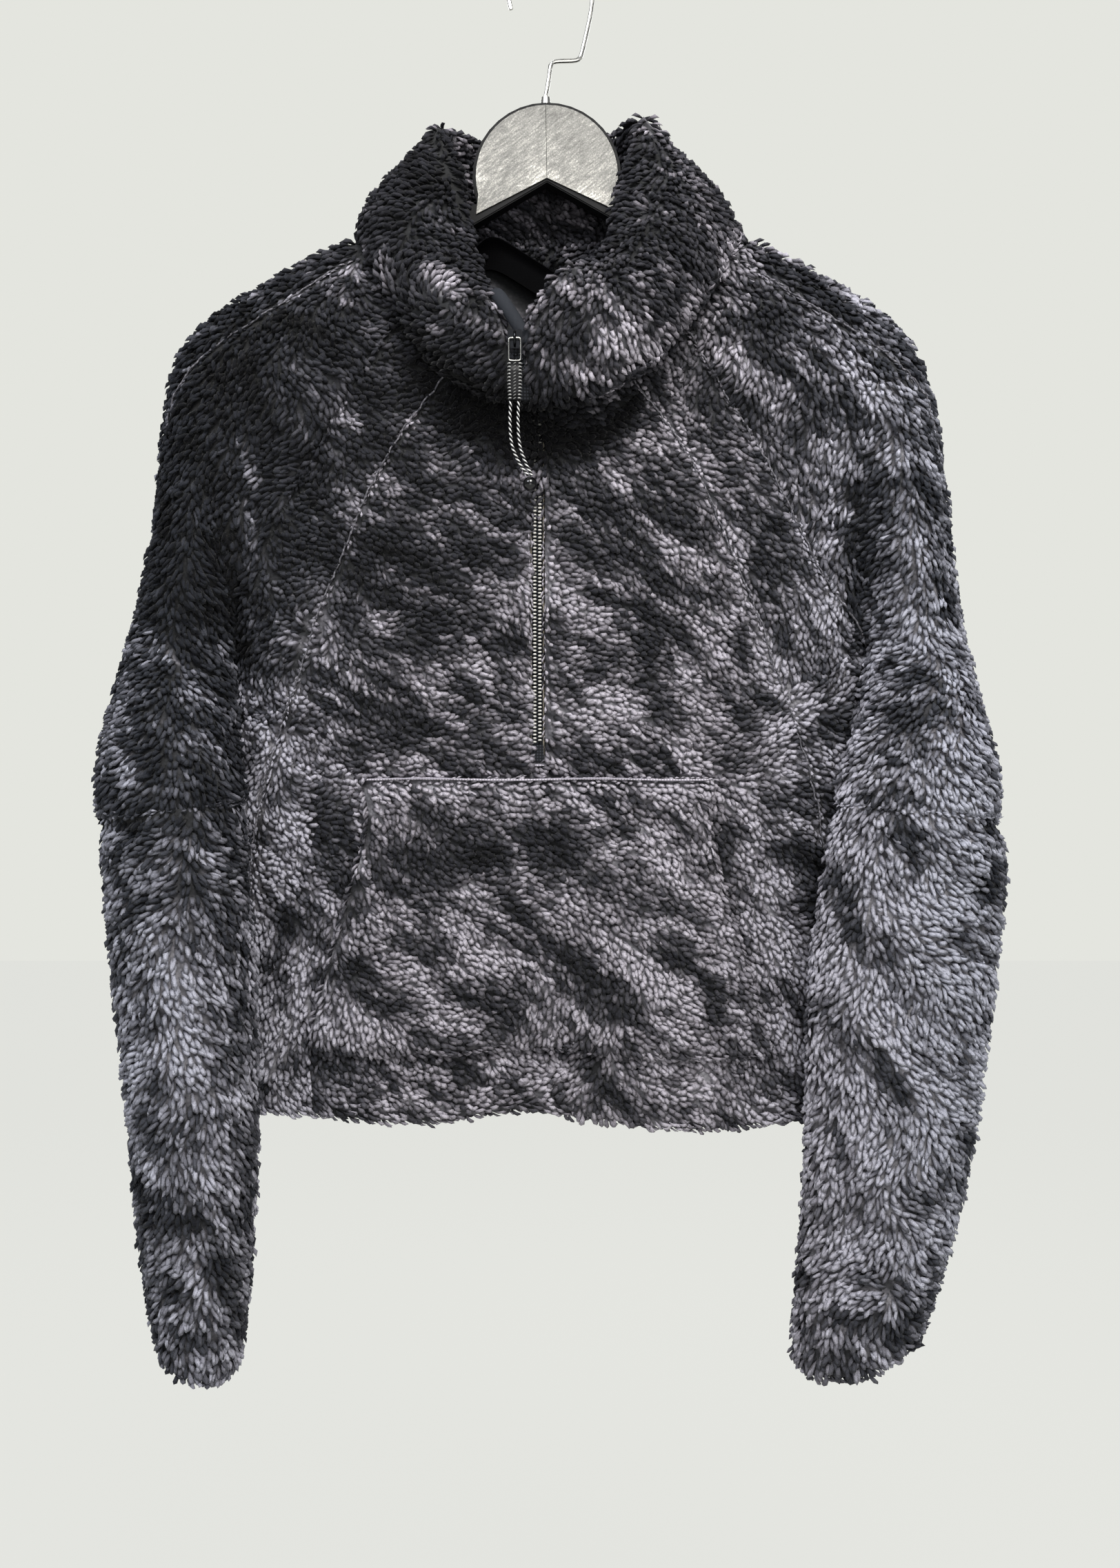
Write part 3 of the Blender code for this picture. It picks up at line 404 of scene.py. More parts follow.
@dataclass(frozen=True)
class Finish:
    """A material made once from what the real one is; each kind says what its shader gets."""

    name: str

    def material(self) -> bpy.types.Material:
        """Make the finish's material, or find it again.

        Returns:
            The material, which has the finish's name.
        """
        found = bpy.data.materials.get(self.name)
        if found:
            return found
        made = bpy.data.materials.new(self.name)
        made.use_nodes = True
        tree = made.node_tree
        tree.nodes.clear()
        place = add_node(tree, "ShaderNodeTexCoord").outputs["Object"]
        shader = add_node(tree, "ShaderNodeBsdfPrincipled", self.shading(tree, place))
        add_node(tree, "ShaderNodeOutputMaterial", {"Surface": shader})
        return made

    def shading(self, tree: bpy.types.NodeTree, place: bpy.types.NodeSocket) -> dict[str, object]:
        """Build the material's pattern.

        Args:
            tree: The material's nodes.
            place: Where on the object, in metres.

        Returns:
            Sockets and values for the shader's inputs.
        """
        return {}


@dataclass(frozen=True)
class Mottle:
    """Dyed print of the fleece: drifts of charcoal, grey and pale grey that stream down and aside."""

    drift: float = 23.0       # size of a drift across, in mm
    speck: float = 8.5        # size of the smaller breaks in a drift
    stretch: float = 3.4      # how much longer than wide a drift is
    lean: float = 40.0        # degrees from level, falling to the right
    swirl: float = 26.0       # how far the streams wander, in mm

    def shade(self, tree: bpy.types.NodeTree, place: bpy.types.NodeSocket,
              drift: bpy.types.NodeSocket) -> bpy.types.NodeSocket:
        """Build the print, and add the placed strokes, some of which are painted shade and light.

        Args:
            tree: The material's nodes.
            place: Where on the garment, in metres.
            drift: What the placed strokes add.

        Returns:
            A socket from 0, charcoal, to 1, pale.
        """
        wander = add_node(tree, "ShaderNodeTexNoise", {"Vector": place, "Scale": 9.0, "Detail": 1.0})
        centred = add_node(
            tree, "ShaderNodeVectorMath", {0: wander.outputs["Color"], 1: (0.5, 0.5, 0.5)}, operation="SUBTRACT")
        strayed = add_node(
            tree, "ShaderNodeVectorMath", {0: centred, 1: (2 * self.swirl * MM,) * 3, 2: place},
            operation="MULTIPLY_ADD",
        )
        turned = add_node(
            tree, "ShaderNodeMapping",
            {"Vector": strayed, "Rotation": (0.0, math.radians(self.lean), 0.0),
             "Scale": (self.stretch, 1.0, 1.0)},
            vector_type="TEXTURE",
        )
        drifts = add_node(tree, "ShaderNodeTexNoise", {
            "Vector": turned, "Scale": 1 / (self.drift * MM), "Detail": 3.0, "Roughness": 0.6, "Distortion": 0.4})
        specks = add_node(tree, "ShaderNodeTexNoise", {
            "Vector": turned, "Scale": 1 / (self.speck * MM), "Detail": 1.0, "Roughness": 0.5})
        half = add_node(tree, "ShaderNodeMath", {0: specks, 1: 0.5}, operation="MULTIPLY")
        both = add_node(
            tree, "ShaderNodeMath", {0: drifts, 1: 0.5, 2: half}, operation="MULTIPLY_ADD")
        return add_node(tree, "ShaderNodeMath", {0: both, 1: drift}, operation="ADD").outputs[0]


PRINT: Stops = [(0.22, "#0d0d0f"), (0.40, "#28292d"), (0.475, "#434347"), (0.535, "#757378"), (0.63, "#a7a5ab")]
# the print darkened as painted shade, for the pile's floor between the locks
PRINT_IN_SHADE: Stops = [
    (0.22, "#09090a"), (0.40, "#1c1d20"), (0.475, "#333337"), (0.535, "#5f5d63"), (0.63, "#8b898f")]


@dataclass(frozen=True)
class SherpaPile(Finish):
    """Polyester sherpa pile, brushed into locks: matt, soft at grazing light, with painted shade that darkens the
    roots.
    """

    mottle: Mottle = field(default_factory=Mottle)
    uneven: float = 0.035     # how far each lock's shade strays from the print's
    pressed: float = 0.12     # how much paler the pile is where it is pressed flat
    hair: float = 1 / 1.5     # size of the fine hairs' pattern, in mm

    def shading(self, tree: bpy.types.NodeTree, place: bpy.types.NodeSocket) -> dict[str, object]:
        """Give each lock its print colour, and painted shade that darkens its root and its underside and pales its free
        end.

        Args:
            tree: The material's nodes.
            place: Where on the object, in metres.

        Returns:
            Sockets and values for the shader's inputs.
        """
        root = add_node(tree, "ShaderNodeAttribute", attribute_name="root").outputs["Vector"]
        tip, chance, flat, drift = (
            add_node(tree, "ShaderNodeAttribute", attribute_name=name).outputs["Fac"]
            for name in ("tip", "chance", "flat", "drift")
        )
        shade = self.mottle.shade(tree, root, drift)
        each = add_node(
            tree, "ShaderNodeMath", {0: chance, 1: 2 * self.uneven, 2: -self.uneven}, operation="MULTIPLY_ADD")
        paler = add_node(tree, "ShaderNodeMath", {0: flat, 1: self.pressed}, operation="MULTIPLY")
        for more in (each, paler):
            shade = add_node(tree, "ShaderNodeMath", {0: shade, 1: more}, operation="ADD")
        dyed_and_painted_shade = add_node(tree, "ShaderNodeValToRGB", {"Fac": shade}, PRINT)
        across = add_node(tree, "ShaderNodeSeparateXYZ", {0: root})
        aside = add_node(tree, "ShaderNodeMath", {0: across}, operation="ABSOLUTE")
        cool = add_node(tree, "ShaderNodeMapRange", {"Value": aside, "From Min": 0.10, "From Max": 0.24})
        tint = add_node(tree, "ShaderNodeValToRGB", {"Fac": cool}, [(0.0, "#fffbff"), (1.0, "#f1f6ff")])
        # painted shade: the stored lock shade darkens each lock towards its root
        depth = add_node(tree, "ShaderNodeMapRange", {"Value": tip, "To Min": 0.5, "To Max": 1.04})
        hairs = add_node(tree, "ShaderNodeTexNoise", {"Vector": place, "Scale": 1 / (self.hair * MM), "Detail": 1.0})
        strands = add_node(tree, "ShaderNodeMapRange", {
            "Value": hairs, "From Min": 0.3, "From Max": 0.7, "To Min": 0.72, "To Max": 1.24})
        dim = add_node(tree, "ShaderNodeMath", {0: depth, 1: strands}, operation="MULTIPLY")
        colour = dyed_and_painted_shade.outputs["Color"]
        for more in (tint.outputs["Color"], dim):
            colour = add_node(
                tree, "ShaderNodeMix", {0: 1.0, 6: colour, 7: more}, data_type="RGBA", blend_type="MULTIPLY",
            ).outputs[2]
        bump = add_node(tree, "ShaderNodeBump", {"Height": hairs, "Distance": 0.5 * MM, "Strength": 0.7})
        return {
            "Base Color": colour, "Roughness": 0.86, "Specular IOR Level": 0.08, "Sheen Weight": 0.05,
            "Sheen Roughness": 0.45, "Normal": bump,
        }


@dataclass(frozen=True)
class PileFloor(Finish):
    """Matted lower pile that shows between the locks: the same print darkened as painted shade, with small curls."""

    mottle: Mottle = field(default_factory=Mottle)
    curl: float = 1 / 0.42    # size of a curl, in mm

    def shading(self, tree: bpy.types.NodeTree, place: bpy.types.NodeSocket) -> dict[str, object]:
        """Colour the curls by the print, with painted shade in the hollows between them.

        Args:
            tree: The material's nodes.
            place: Where on the object, in metres.

        Returns:
            Sockets and values for the shader's inputs.
        """
        drift = add_node(tree, "ShaderNodeAttribute", attribute_name="drift").outputs["Fac"]
        dyed_and_painted_shade = add_node(tree, "ShaderNodeValToRGB", {"Fac": self.mottle.shade(tree, place, drift)}, PRINT_IN_SHADE)
        curls = add_node(
            tree, "ShaderNodeTexVoronoi", {"Vector": place, "Scale": 1 / (self.curl * MM), "Randomness": 1.0})
        # painted shade: darker in the hollows between the curls
        depth = add_node(tree, "ShaderNodeMapRange", {
            "Value": curls.outputs["Distance"], "From Min": 0.1, "From Max": 0.7, "To Min": 1.0, "To Max": 0.55})
        colour = add_node(
            tree, "ShaderNodeMix", {0: 1.0, 6: dyed_and_painted_shade.outputs["Color"], 7: depth}, data_type="RGBA",
            blend_type="MULTIPLY",
        )
        bump = add_node(tree, "ShaderNodeBump", {"Height": depth, "Distance": 0.8 * MM, "Strength": 0.8})
        return {"Base Color": colour.outputs[2], "Roughness": 0.9, "Normal": bump}


@dataclass(frozen=True)
class KnitGround(Finish):
    """Knitted ground fabric under the pile: charcoal and dull, with ribs drawn coarser than real so that they show."""

    dark: str = "#141417"
    light: str = "#26262b"
    rib: float = math.pi      # between two ribs, in mm; a real one is about 1 mm
    course: float = math.pi / 1.3   # between two rows of loops, in mm

    def shading(self, tree: bpy.types.NodeTree, place: bpy.types.NodeSocket) -> dict[str, object]:
        """Colour the knit's ribs and crossings.

        Args:
            tree: The material's nodes.
            place: Where on the object, in metres.

        Returns:
            Sockets and values for the shader's inputs.
        """
        ribs, rows = (
            add_node(
                tree, "ShaderNodeTexWave",
                {"Vector": place, "Scale": math.pi / (10 * pitch * MM), "Distortion": bend, "Detail": 1.0},
                bands_direction=way,
            ).outputs["Fac"] for way, pitch, bend in (("X", self.rib, 1.2), ("Z", self.course, 1.0))
        )
        loops = add_node(tree, "ShaderNodeMath", {0: ribs, 1: rows}, operation="MULTIPLY")
        colour = add_node(tree, "ShaderNodeValToRGB", {"Fac": loops}, [(0.1, self.dark), (0.8, self.light)])
        bump = add_node(tree, "ShaderNodeBump", {"Height": loops, "Distance": 0.3 * MM, "Strength": 0.6})
        return {"Base Color": colour.outputs["Color"], "Roughness": 0.9, "Sheen Weight": 0.1, "Normal": bump}


@dataclass(frozen=True)
class WovenTape(Finish):
    """Woven polyester: dull, with crossing threads whose pitch is drawn coarse enough to show."""

    dark: str = "#17181b"
    light: str = "#33353b"
    edge: str = ""            # a pale selvedge beside the chain, if any
    pitch: float = 1.75       # between two bands of thread, in mm
    gloss: float = 0.15       # specular level

    def shading(self, tree: bpy.types.NodeTree, place: bpy.types.NodeSocket) -> dict[str, object]:
        """Colour warp and weft, and the selvedge where there is one.

        Args:
            tree: The material's nodes.
            place: Where on the object, in metres.

        Returns:
            Sockets and values for the shader's inputs.
        """
        scale = math.pi / (10 * self.pitch * MM)
        warp, weft = (
            add_node(
                tree, "ShaderNodeTexWave", {"Vector": place, "Scale": scale, "Distortion": 0.4}, bands_direction=way,
            ).outputs["Fac"] for way in "XZ"
        )
        threads = add_node(tree, "ShaderNodeMath", {0: warp, 1: weft}, operation="MULTIPLY")
        colour = add_node(
            tree, "ShaderNodeValToRGB", {"Fac": threads}, [(0.05, self.dark), (0.8, self.light)]).outputs["Color"]
        if self.edge:
            across = add_node(tree, "ShaderNodeSeparateXYZ", {0: place})
            aside = add_node(tree, "ShaderNodeMath", {0: across, 1: CENTRE_X * MM}, operation="SUBTRACT")
            away = add_node(tree, "ShaderNodeMath", {0: aside}, operation="ABSOLUTE")
            rim = add_node(tree, "ShaderNodeMapRange", {"Value": away, "From Min": 3.3 * MM, "From Max": 3.7 * MM})
            colour = add_node(
                tree, "ShaderNodeMix", {0: rim, 6: colour, 7: linear(self.edge)}, data_type="RGBA",
            ).outputs[2]
        bump = add_node(tree, "ShaderNodeBump", {"Height": threads, "Distance": 0.15 * MM, "Strength": 0.7})
        return {"Base Color": colour, "Roughness": 0.8, "Specular IOR Level": self.gloss, "Normal": bump}


@dataclass(frozen=True)
class Metal(Finish):
    """Bare or plated metal, drawn or cast: bright, with faint rubbing that varies its gloss."""

    colour: str = "#c9c8c4"
    roughness: float = 0.28
    metallic: float = 1.0
    smudge: float = 0.1       # how far rubbing moves the roughness
    rubbing: float = 2.5      # size of a rubbed patch, in mm

    def shading(self, tree: bpy.types.NodeTree, place: bpy.types.NodeSocket) -> dict[str, object]:
        """Vary the gloss and the tone with rubbed patches.

        Args:
            tree: The material's nodes.
            place: Where on the object, in metres.

        Returns:
            Sockets and values for the shader's inputs.
        """
        rub = add_node(
            tree, "ShaderNodeTexNoise", {"Vector": place, "Scale": 1 / (self.rubbing * MM), "Detail": 3.0})
        rough = add_node(tree, "ShaderNodeMapRange", {
            "Value": rub, "To Min": self.roughness - self.smudge, "To Max": self.roughness + self.smudge})
        tone = add_node(tree, "ShaderNodeValToRGB", {"Fac": rub}, [(0.2, linear(self.colour, 0.8)), (0.9, self.colour)])
        bump = add_node(tree, "ShaderNodeBump", {"Height": rub, "Distance": 0.03 * MM, "Strength": 0.3})
        return {
            "Base Color": tone.outputs["Color"], "Metallic": self.metallic, "Roughness": rough,
            "Normal": bump,
        }


@dataclass(frozen=True)
class BrushedFilm(Finish):
    """Silver film hot-pressed on the hanger: satin, with fine slanting fibres and bright flecks."""

    fibre: float = 1 / 0.9    # size of the fibres' pattern across, in mm
    fleck: float = 1 / 1.1
    cloud: float = 1 / 0.028  # size of the slow changes of tone
    lean: float = -38.0       # degrees from level

    def shading(self, tree: bpy.types.NodeTree, place: bpy.types.NodeSocket) -> dict[str, object]:
        """Lay fibres, flecks and the slow change of tone of the film, with painted light that makes it darker at its
        top and paler lower down.

        Args:
            tree: The material's nodes.
            place: Where on the object, in metres.

        Returns:
            Sockets and values for the shader's inputs.
        """
        lean = add_node(
            tree, "ShaderNodeMapping",
            {"Vector": place, "Rotation": (0.0, math.radians(self.lean), 0.0), "Scale": (5.0, 1.0, 1.0)},
            vector_type="TEXTURE",
        )
        fibre, fleck, slow = (
            add_node(tree, "ShaderNodeTexNoise", {"Vector": where, "Scale": 1 / (size * MM), "Detail": detail})
            for where, size, detail in (
                (lean, self.fibre, 2.0), (place, self.fleck, 1.0), (place, self.cloud, 2.0))
        )
        dots = add_node(tree, "ShaderNodeMath", {0: fleck, 1: 0.45}, operation="MULTIPLY")
        grain = add_node(tree, "ShaderNodeMath", {0: fibre, 1: 0.55, 2: dots}, operation="MULTIPLY_ADD")
        share = add_node(tree, "ShaderNodeMath", {0: grain, 1: 0.65}, operation="MULTIPLY")
        tone = add_node(tree, "ShaderNodeMath", {0: slow, 1: 0.35, 2: share}, operation="MULTIPLY_ADD")
        # painted light: the film darker at its top and paler lower down
        height = add_node(tree, "ShaderNodeSeparateXYZ", {0: place}).outputs[2]
        low = add_node(tree, "ShaderNodeMapRange", {
            "Value": height, "From Min": -105 * MM, "From Max": -155 * MM, "To Min": -0.06, "To Max": 0.05})
        tone = add_node(tree, "ShaderNodeMath", {0: tone, 1: low}, operation="ADD")
        colour = add_node(tree, "ShaderNodeValToRGB", {"Fac": tone}, [
            (0.34, "#53524f"), (0.5, "#73726e"), (0.60, "#97958f"), (0.70, "#d8d7d2")])
        rough = add_node(tree, "ShaderNodeMapRange", {"Value": grain, "To Min": 0.62, "To Max": 0.36})
        bump = add_node(tree, "ShaderNodeBump", {"Height": grain, "Distance": 0.08 * MM, "Strength": 0.5})
        return {
            "Base Color": colour.outputs["Color"], "Metallic": 0.3, "Roughness": rough,
            "Normal": bump,
        }


@dataclass(frozen=True)
class MouldedPlastic(Finish):
    """Injection-moulded plastic with a fine eroded skin, satin where hands have rubbed it."""

    colour: str = "#060607"
    roughness: float = 0.6
    coat: float = 0.0
    gloss: float = 0.2        # specular level of the bare skin
    grain: float = 1 / 1.4    # size of the eroded grain, in mm, coarser than real
    wear: float = 1 / 0.06    # size of the worn patches

    def shading(self, tree: bpy.types.NodeTree, place: bpy.types.NodeSocket) -> dict[str, object]:
        """Give the skin its fine grain and its change of gloss.

        Args:
            tree: The material's nodes.
            place: Where on the object, in metres.

        Returns:
            Sockets and values for the shader's inputs.
        """
        skin, worn = (
            add_node(tree, "ShaderNodeTexNoise", {"Vector": place, "Scale": 1 / (size * MM), "Detail": detail})
            for size, detail in ((self.grain, 2.0), (self.wear, 3.0))
        )
        paler = linear(self.colour, 1.6)
        tone = add_node(tree, "ShaderNodeValToRGB", {"Fac": worn}, [(0.3, self.colour), (0.8, paler)])
        rough = add_node(tree, "ShaderNodeMapRange", {
            "Value": worn, "To Min": self.roughness - 0.1, "To Max": self.roughness + 0.1})
        bump = add_node(tree, "ShaderNodeBump", {"Height": skin, "Distance": 0.03 * MM, "Strength": 0.4})
        return {
            "Base Color": tone.outputs["Color"], "Roughness": rough, "Specular IOR Level": self.gloss,
            "Coat Weight": self.coat, "Coat Roughness": 0.06, "Normal": bump,
        }


@dataclass(frozen=True)
class BackdropPaper(Finish):
    """Lit paper sweep of the studio: even and pale, whatever stands before it."""

    colour: str = "#e4e5e0"
    glow: float = 0.95

    def shading(self, tree: bpy.types.NodeTree, place: bpy.types.NodeSocket) -> dict[str, object]:
        """Let the paper glow evenly and take only a little of the lamps' light.

        Args:
            tree: The material's nodes; not used.
            place: Where on the object, in metres; not used.

        Returns:
            Values for the shader's inputs.
        """
        return {
            "Base Color": linear("#3a3a39"), "Roughness": 1.0, "Specular IOR Level": 0.0,
            "Emission Color": linear(self.colour), "Emission Strength": self.glow,
        }


@dataclass(frozen=True)
class StrandedCord(Finish):
    """Round cord plaited from dull black yarn and a bright metallic thread, told apart by the strand attribute, which
    on the grip also carries painted shade and highlight.
    """

    yarn: str = "#08080a"
    bright: str = "#c9c9c7"

    def shading(self, tree: bpy.types.NodeTree, place: bpy.types.NodeSocket) -> dict[str, object]:
        """Colour the strands and give the bright one its gloss.

        Args:
            tree: The material's nodes.
            place: Where on the object, in metres; not used.

        Returns:
            Sockets and values for the shader's inputs.
        """
        strand = add_node(tree, "ShaderNodeAttribute", attribute_name="strand").outputs["Fac"]
        colour = add_node(tree, "ShaderNodeValToRGB", {"Fac": strand}, [(0.56, self.yarn), (0.80, self.bright)])
        shine = add_node(tree, "ShaderNodeMapRange", {
            "Value": strand, "From Min": 0.45, "From Max": 0.62, "To Min": 0.0, "To Max": 0.5})
        return {
            "Base Color": colour.outputs["Color"], "Metallic": shine, "Roughness": 0.42,
            "Specular IOR Level": 0.2,
        }


PILE = SherpaPile("sherpa_pile_polyester")
GROUND = PileFloor("matted_pile_floor")
BACKING = KnitGround("brushed_fleece_backing")
TAPE = WovenTape("woven_zip_tape", edge="#9a9183")
TRIM = WovenTape("woven_trim_tape")
GUARD = WovenTape("smooth_woven_guard", "#222429", "#2d3035", pitch=0.5)             # even blue-grey
BINDING = WovenTape("pale_binding_thread", "#8a8690", "#c3bec6")                     # pale, catches light
SEAM = WovenTape("matted_seam_pile", "#4e4d52", "#757379", pitch=2.7)                # felted, a shade paler
# black tape, darkened to nearly lightless as painted shade for the inside of the neck
NECK_STRIP = WovenTape("black_twill_tape", "#020203", "#070708", pitch=0.6, gloss=0.04)   # nearly lightless
TEETH = Metal("nickel_plated_teeth", "#c6c4be", 0.34, 0.35)                          # glitters unevenly
WIRE = Metal("bright_drawn_steel", "#c4c3be", 0.2)
# dark plating of the slider; on the collar's teeth it is painted shade
SLIDER = Metal("black_nickel_plating", "#2a2b2e", 0.22)
FILM = BrushedFilm("silver_pressed_film")
HANGER = MouldedPlastic("black_moulded_polypropylene")                               # dark satin
BEAD = MouldedPlastic("glossy_black_acetal", "#040405", 0.12, 0.3, 0.4)              # one sharp highlight
CORD = StrandedCord("plaited_metallic_cord")


# ---------------------------------------------------------------- cloth


class Face(Enum):
    """Side of the garment."""

    FRONT = "front"
    BACK = "back"


@dataclass(frozen=True)
class Crease:
    """One soft uneven trough in the cloth; a negative depth is a ridge. Millimetres."""

    x1: float
    z1: float
    x2: float
    z2: float
    width: float
    depth: float
    bend: float = 0.0

    def depth_at(self, x: np.ndarray, z: np.ndarray) -> np.ndarray:
        """How far the cloth goes in at places of the crease's face.

        Args:
            x: Places across, in millimetres.
            z: Heights, in millimetres.

        Returns:
            Depths in millimetres.
        """
        run, rise = self.x2 - self.x1, self.z2 - self.z1
        length = math.hypot(run, rise)
        t = ((x - self.x1) * run + (z - self.z1) * rise) / length ** 2
        away = ((x - self.x1) * rise - (z - self.z1) * run) / length
        away = away - self.bend * np.sin(np.pi * np.clip(t, 0, 1))
        steep = np.where(away > 0, 1.0, 1.7)
        fade = np.sin(np.pi * np.clip((t + 0.15) / 1.3, 0, 1)) ** 1.5 * (1 + 0.3 * np.sin(9 * t + self.x1))
        return self.depth * np.exp(-((away * steep / self.width) ** 2)) * fade


CREASES = {
    Face.FRONT: [Crease(*values) for values in (
        (-211, -318, -191, -470, 8, 4.5, 4), (196, -300, 190, -468, 8, 4.5, -4), (-196, -455, -130, -545, 9, 3, 6),
        (195, -455, 128, -540, 9, 3, -6), (-190, -480, -150, -640, 8, 2.5, 5), (196, -500, 158, -650, 9, 2.5, -5),
        (-150, -330, -96, -415, 12, 2.4, 5), (128, -330, 70, -430, 12, 2.2, -6), (-100, -420, -40, -500, 11, 2, 4),
        (100, -430, 30, -505, 11, 2, -5), (-228, -250, -170, -330, 10, 2.6, -6), (226, -250, 168, -330, 10, 2.6, 6),
        (-150, -650, -158, -738, 9, 2.6), (-92, -690, -88, -738, 9, -2.5), (-40, -700, -46, -738, 10, 2.4),
        (32, -700, 36, -738, 10, -2.2), (92, -690, 98, -738, 9, 2.6), (168, -650, 176, -738, 9, 2.4),
        (-278, -553, -200, -562, 5, 3.2, 3), (280, -552, 205, -566, 5, 3.4, -3), (-262, -690, -192, -650, 11, 2.6, 4),
        (-255, -770, -195, -735, 10, 2.2, 4), (-248, -840, -200, -810, 8, 2, 3), (168, -640, 255, -684, 11, 2.8, -4),
        (160, -735, 240, -770, 10, 2.4, -4), (158, -800, 222, -832, 8, 2, -3),
    )],
    Face.BACK: [Crease(*values) for values in (
        (-205, -310, -192, -466, 9, 4.5, -4), (204, -310, 192, -466, 9, 4.5, 4), (-190, -460, -110, -560, 11, 3, -6),
        (190, -460, 105, -575, 11, 3, 6), (-150, -330, -60, -420, 14, 2.6, -6), (150, -320, 66, -430, 14, 2.6, 6),
        (-130, -640, -138, -738, 10, 2.6), (-50, -660, -44, -738, 10, -2.4), (45, -650, 52, -738, 10, 2.6),
        (130, -650, 136, -738, 10, -2.4), (-278, -556, -196, -566, 6, 3.2, -3), (280, -556, 190, -570, 6, 3.2, 3),
        (-262, -700, -192, -670, 11, 2.4, -4), (168, -690, 255, -720, 11, 2.4, 4),
    )],
}


@dataclass(frozen=True)
class Drift:
    """A stroke that makes the print paler, or darker if its tone is negative; some strokes are painted shade, and a few
    painted light, rather than print. Millimetres and degrees.
    """

    x: float
    z: float
    long: float
    wide: float
    turn: float
    tone: float

    def tone_at(self, x: np.ndarray, z: np.ndarray) -> np.ndarray:
        """Tone that the stroke adds at places in millimetres.

        Args:
            x: Places across.
            z: Heights.

        Returns:
            Its tone at each place.
        """
        c, s = math.cos(math.radians(self.turn)), math.sin(math.radians(self.turn))
        along, across = (x - self.x) * c + (z - self.z) * s, (z - self.z) * c - (x - self.x) * s
        return self.tone * np.exp(-(((along / self.long) ** 2 + (across / self.wide) ** 2) ** 1.5))


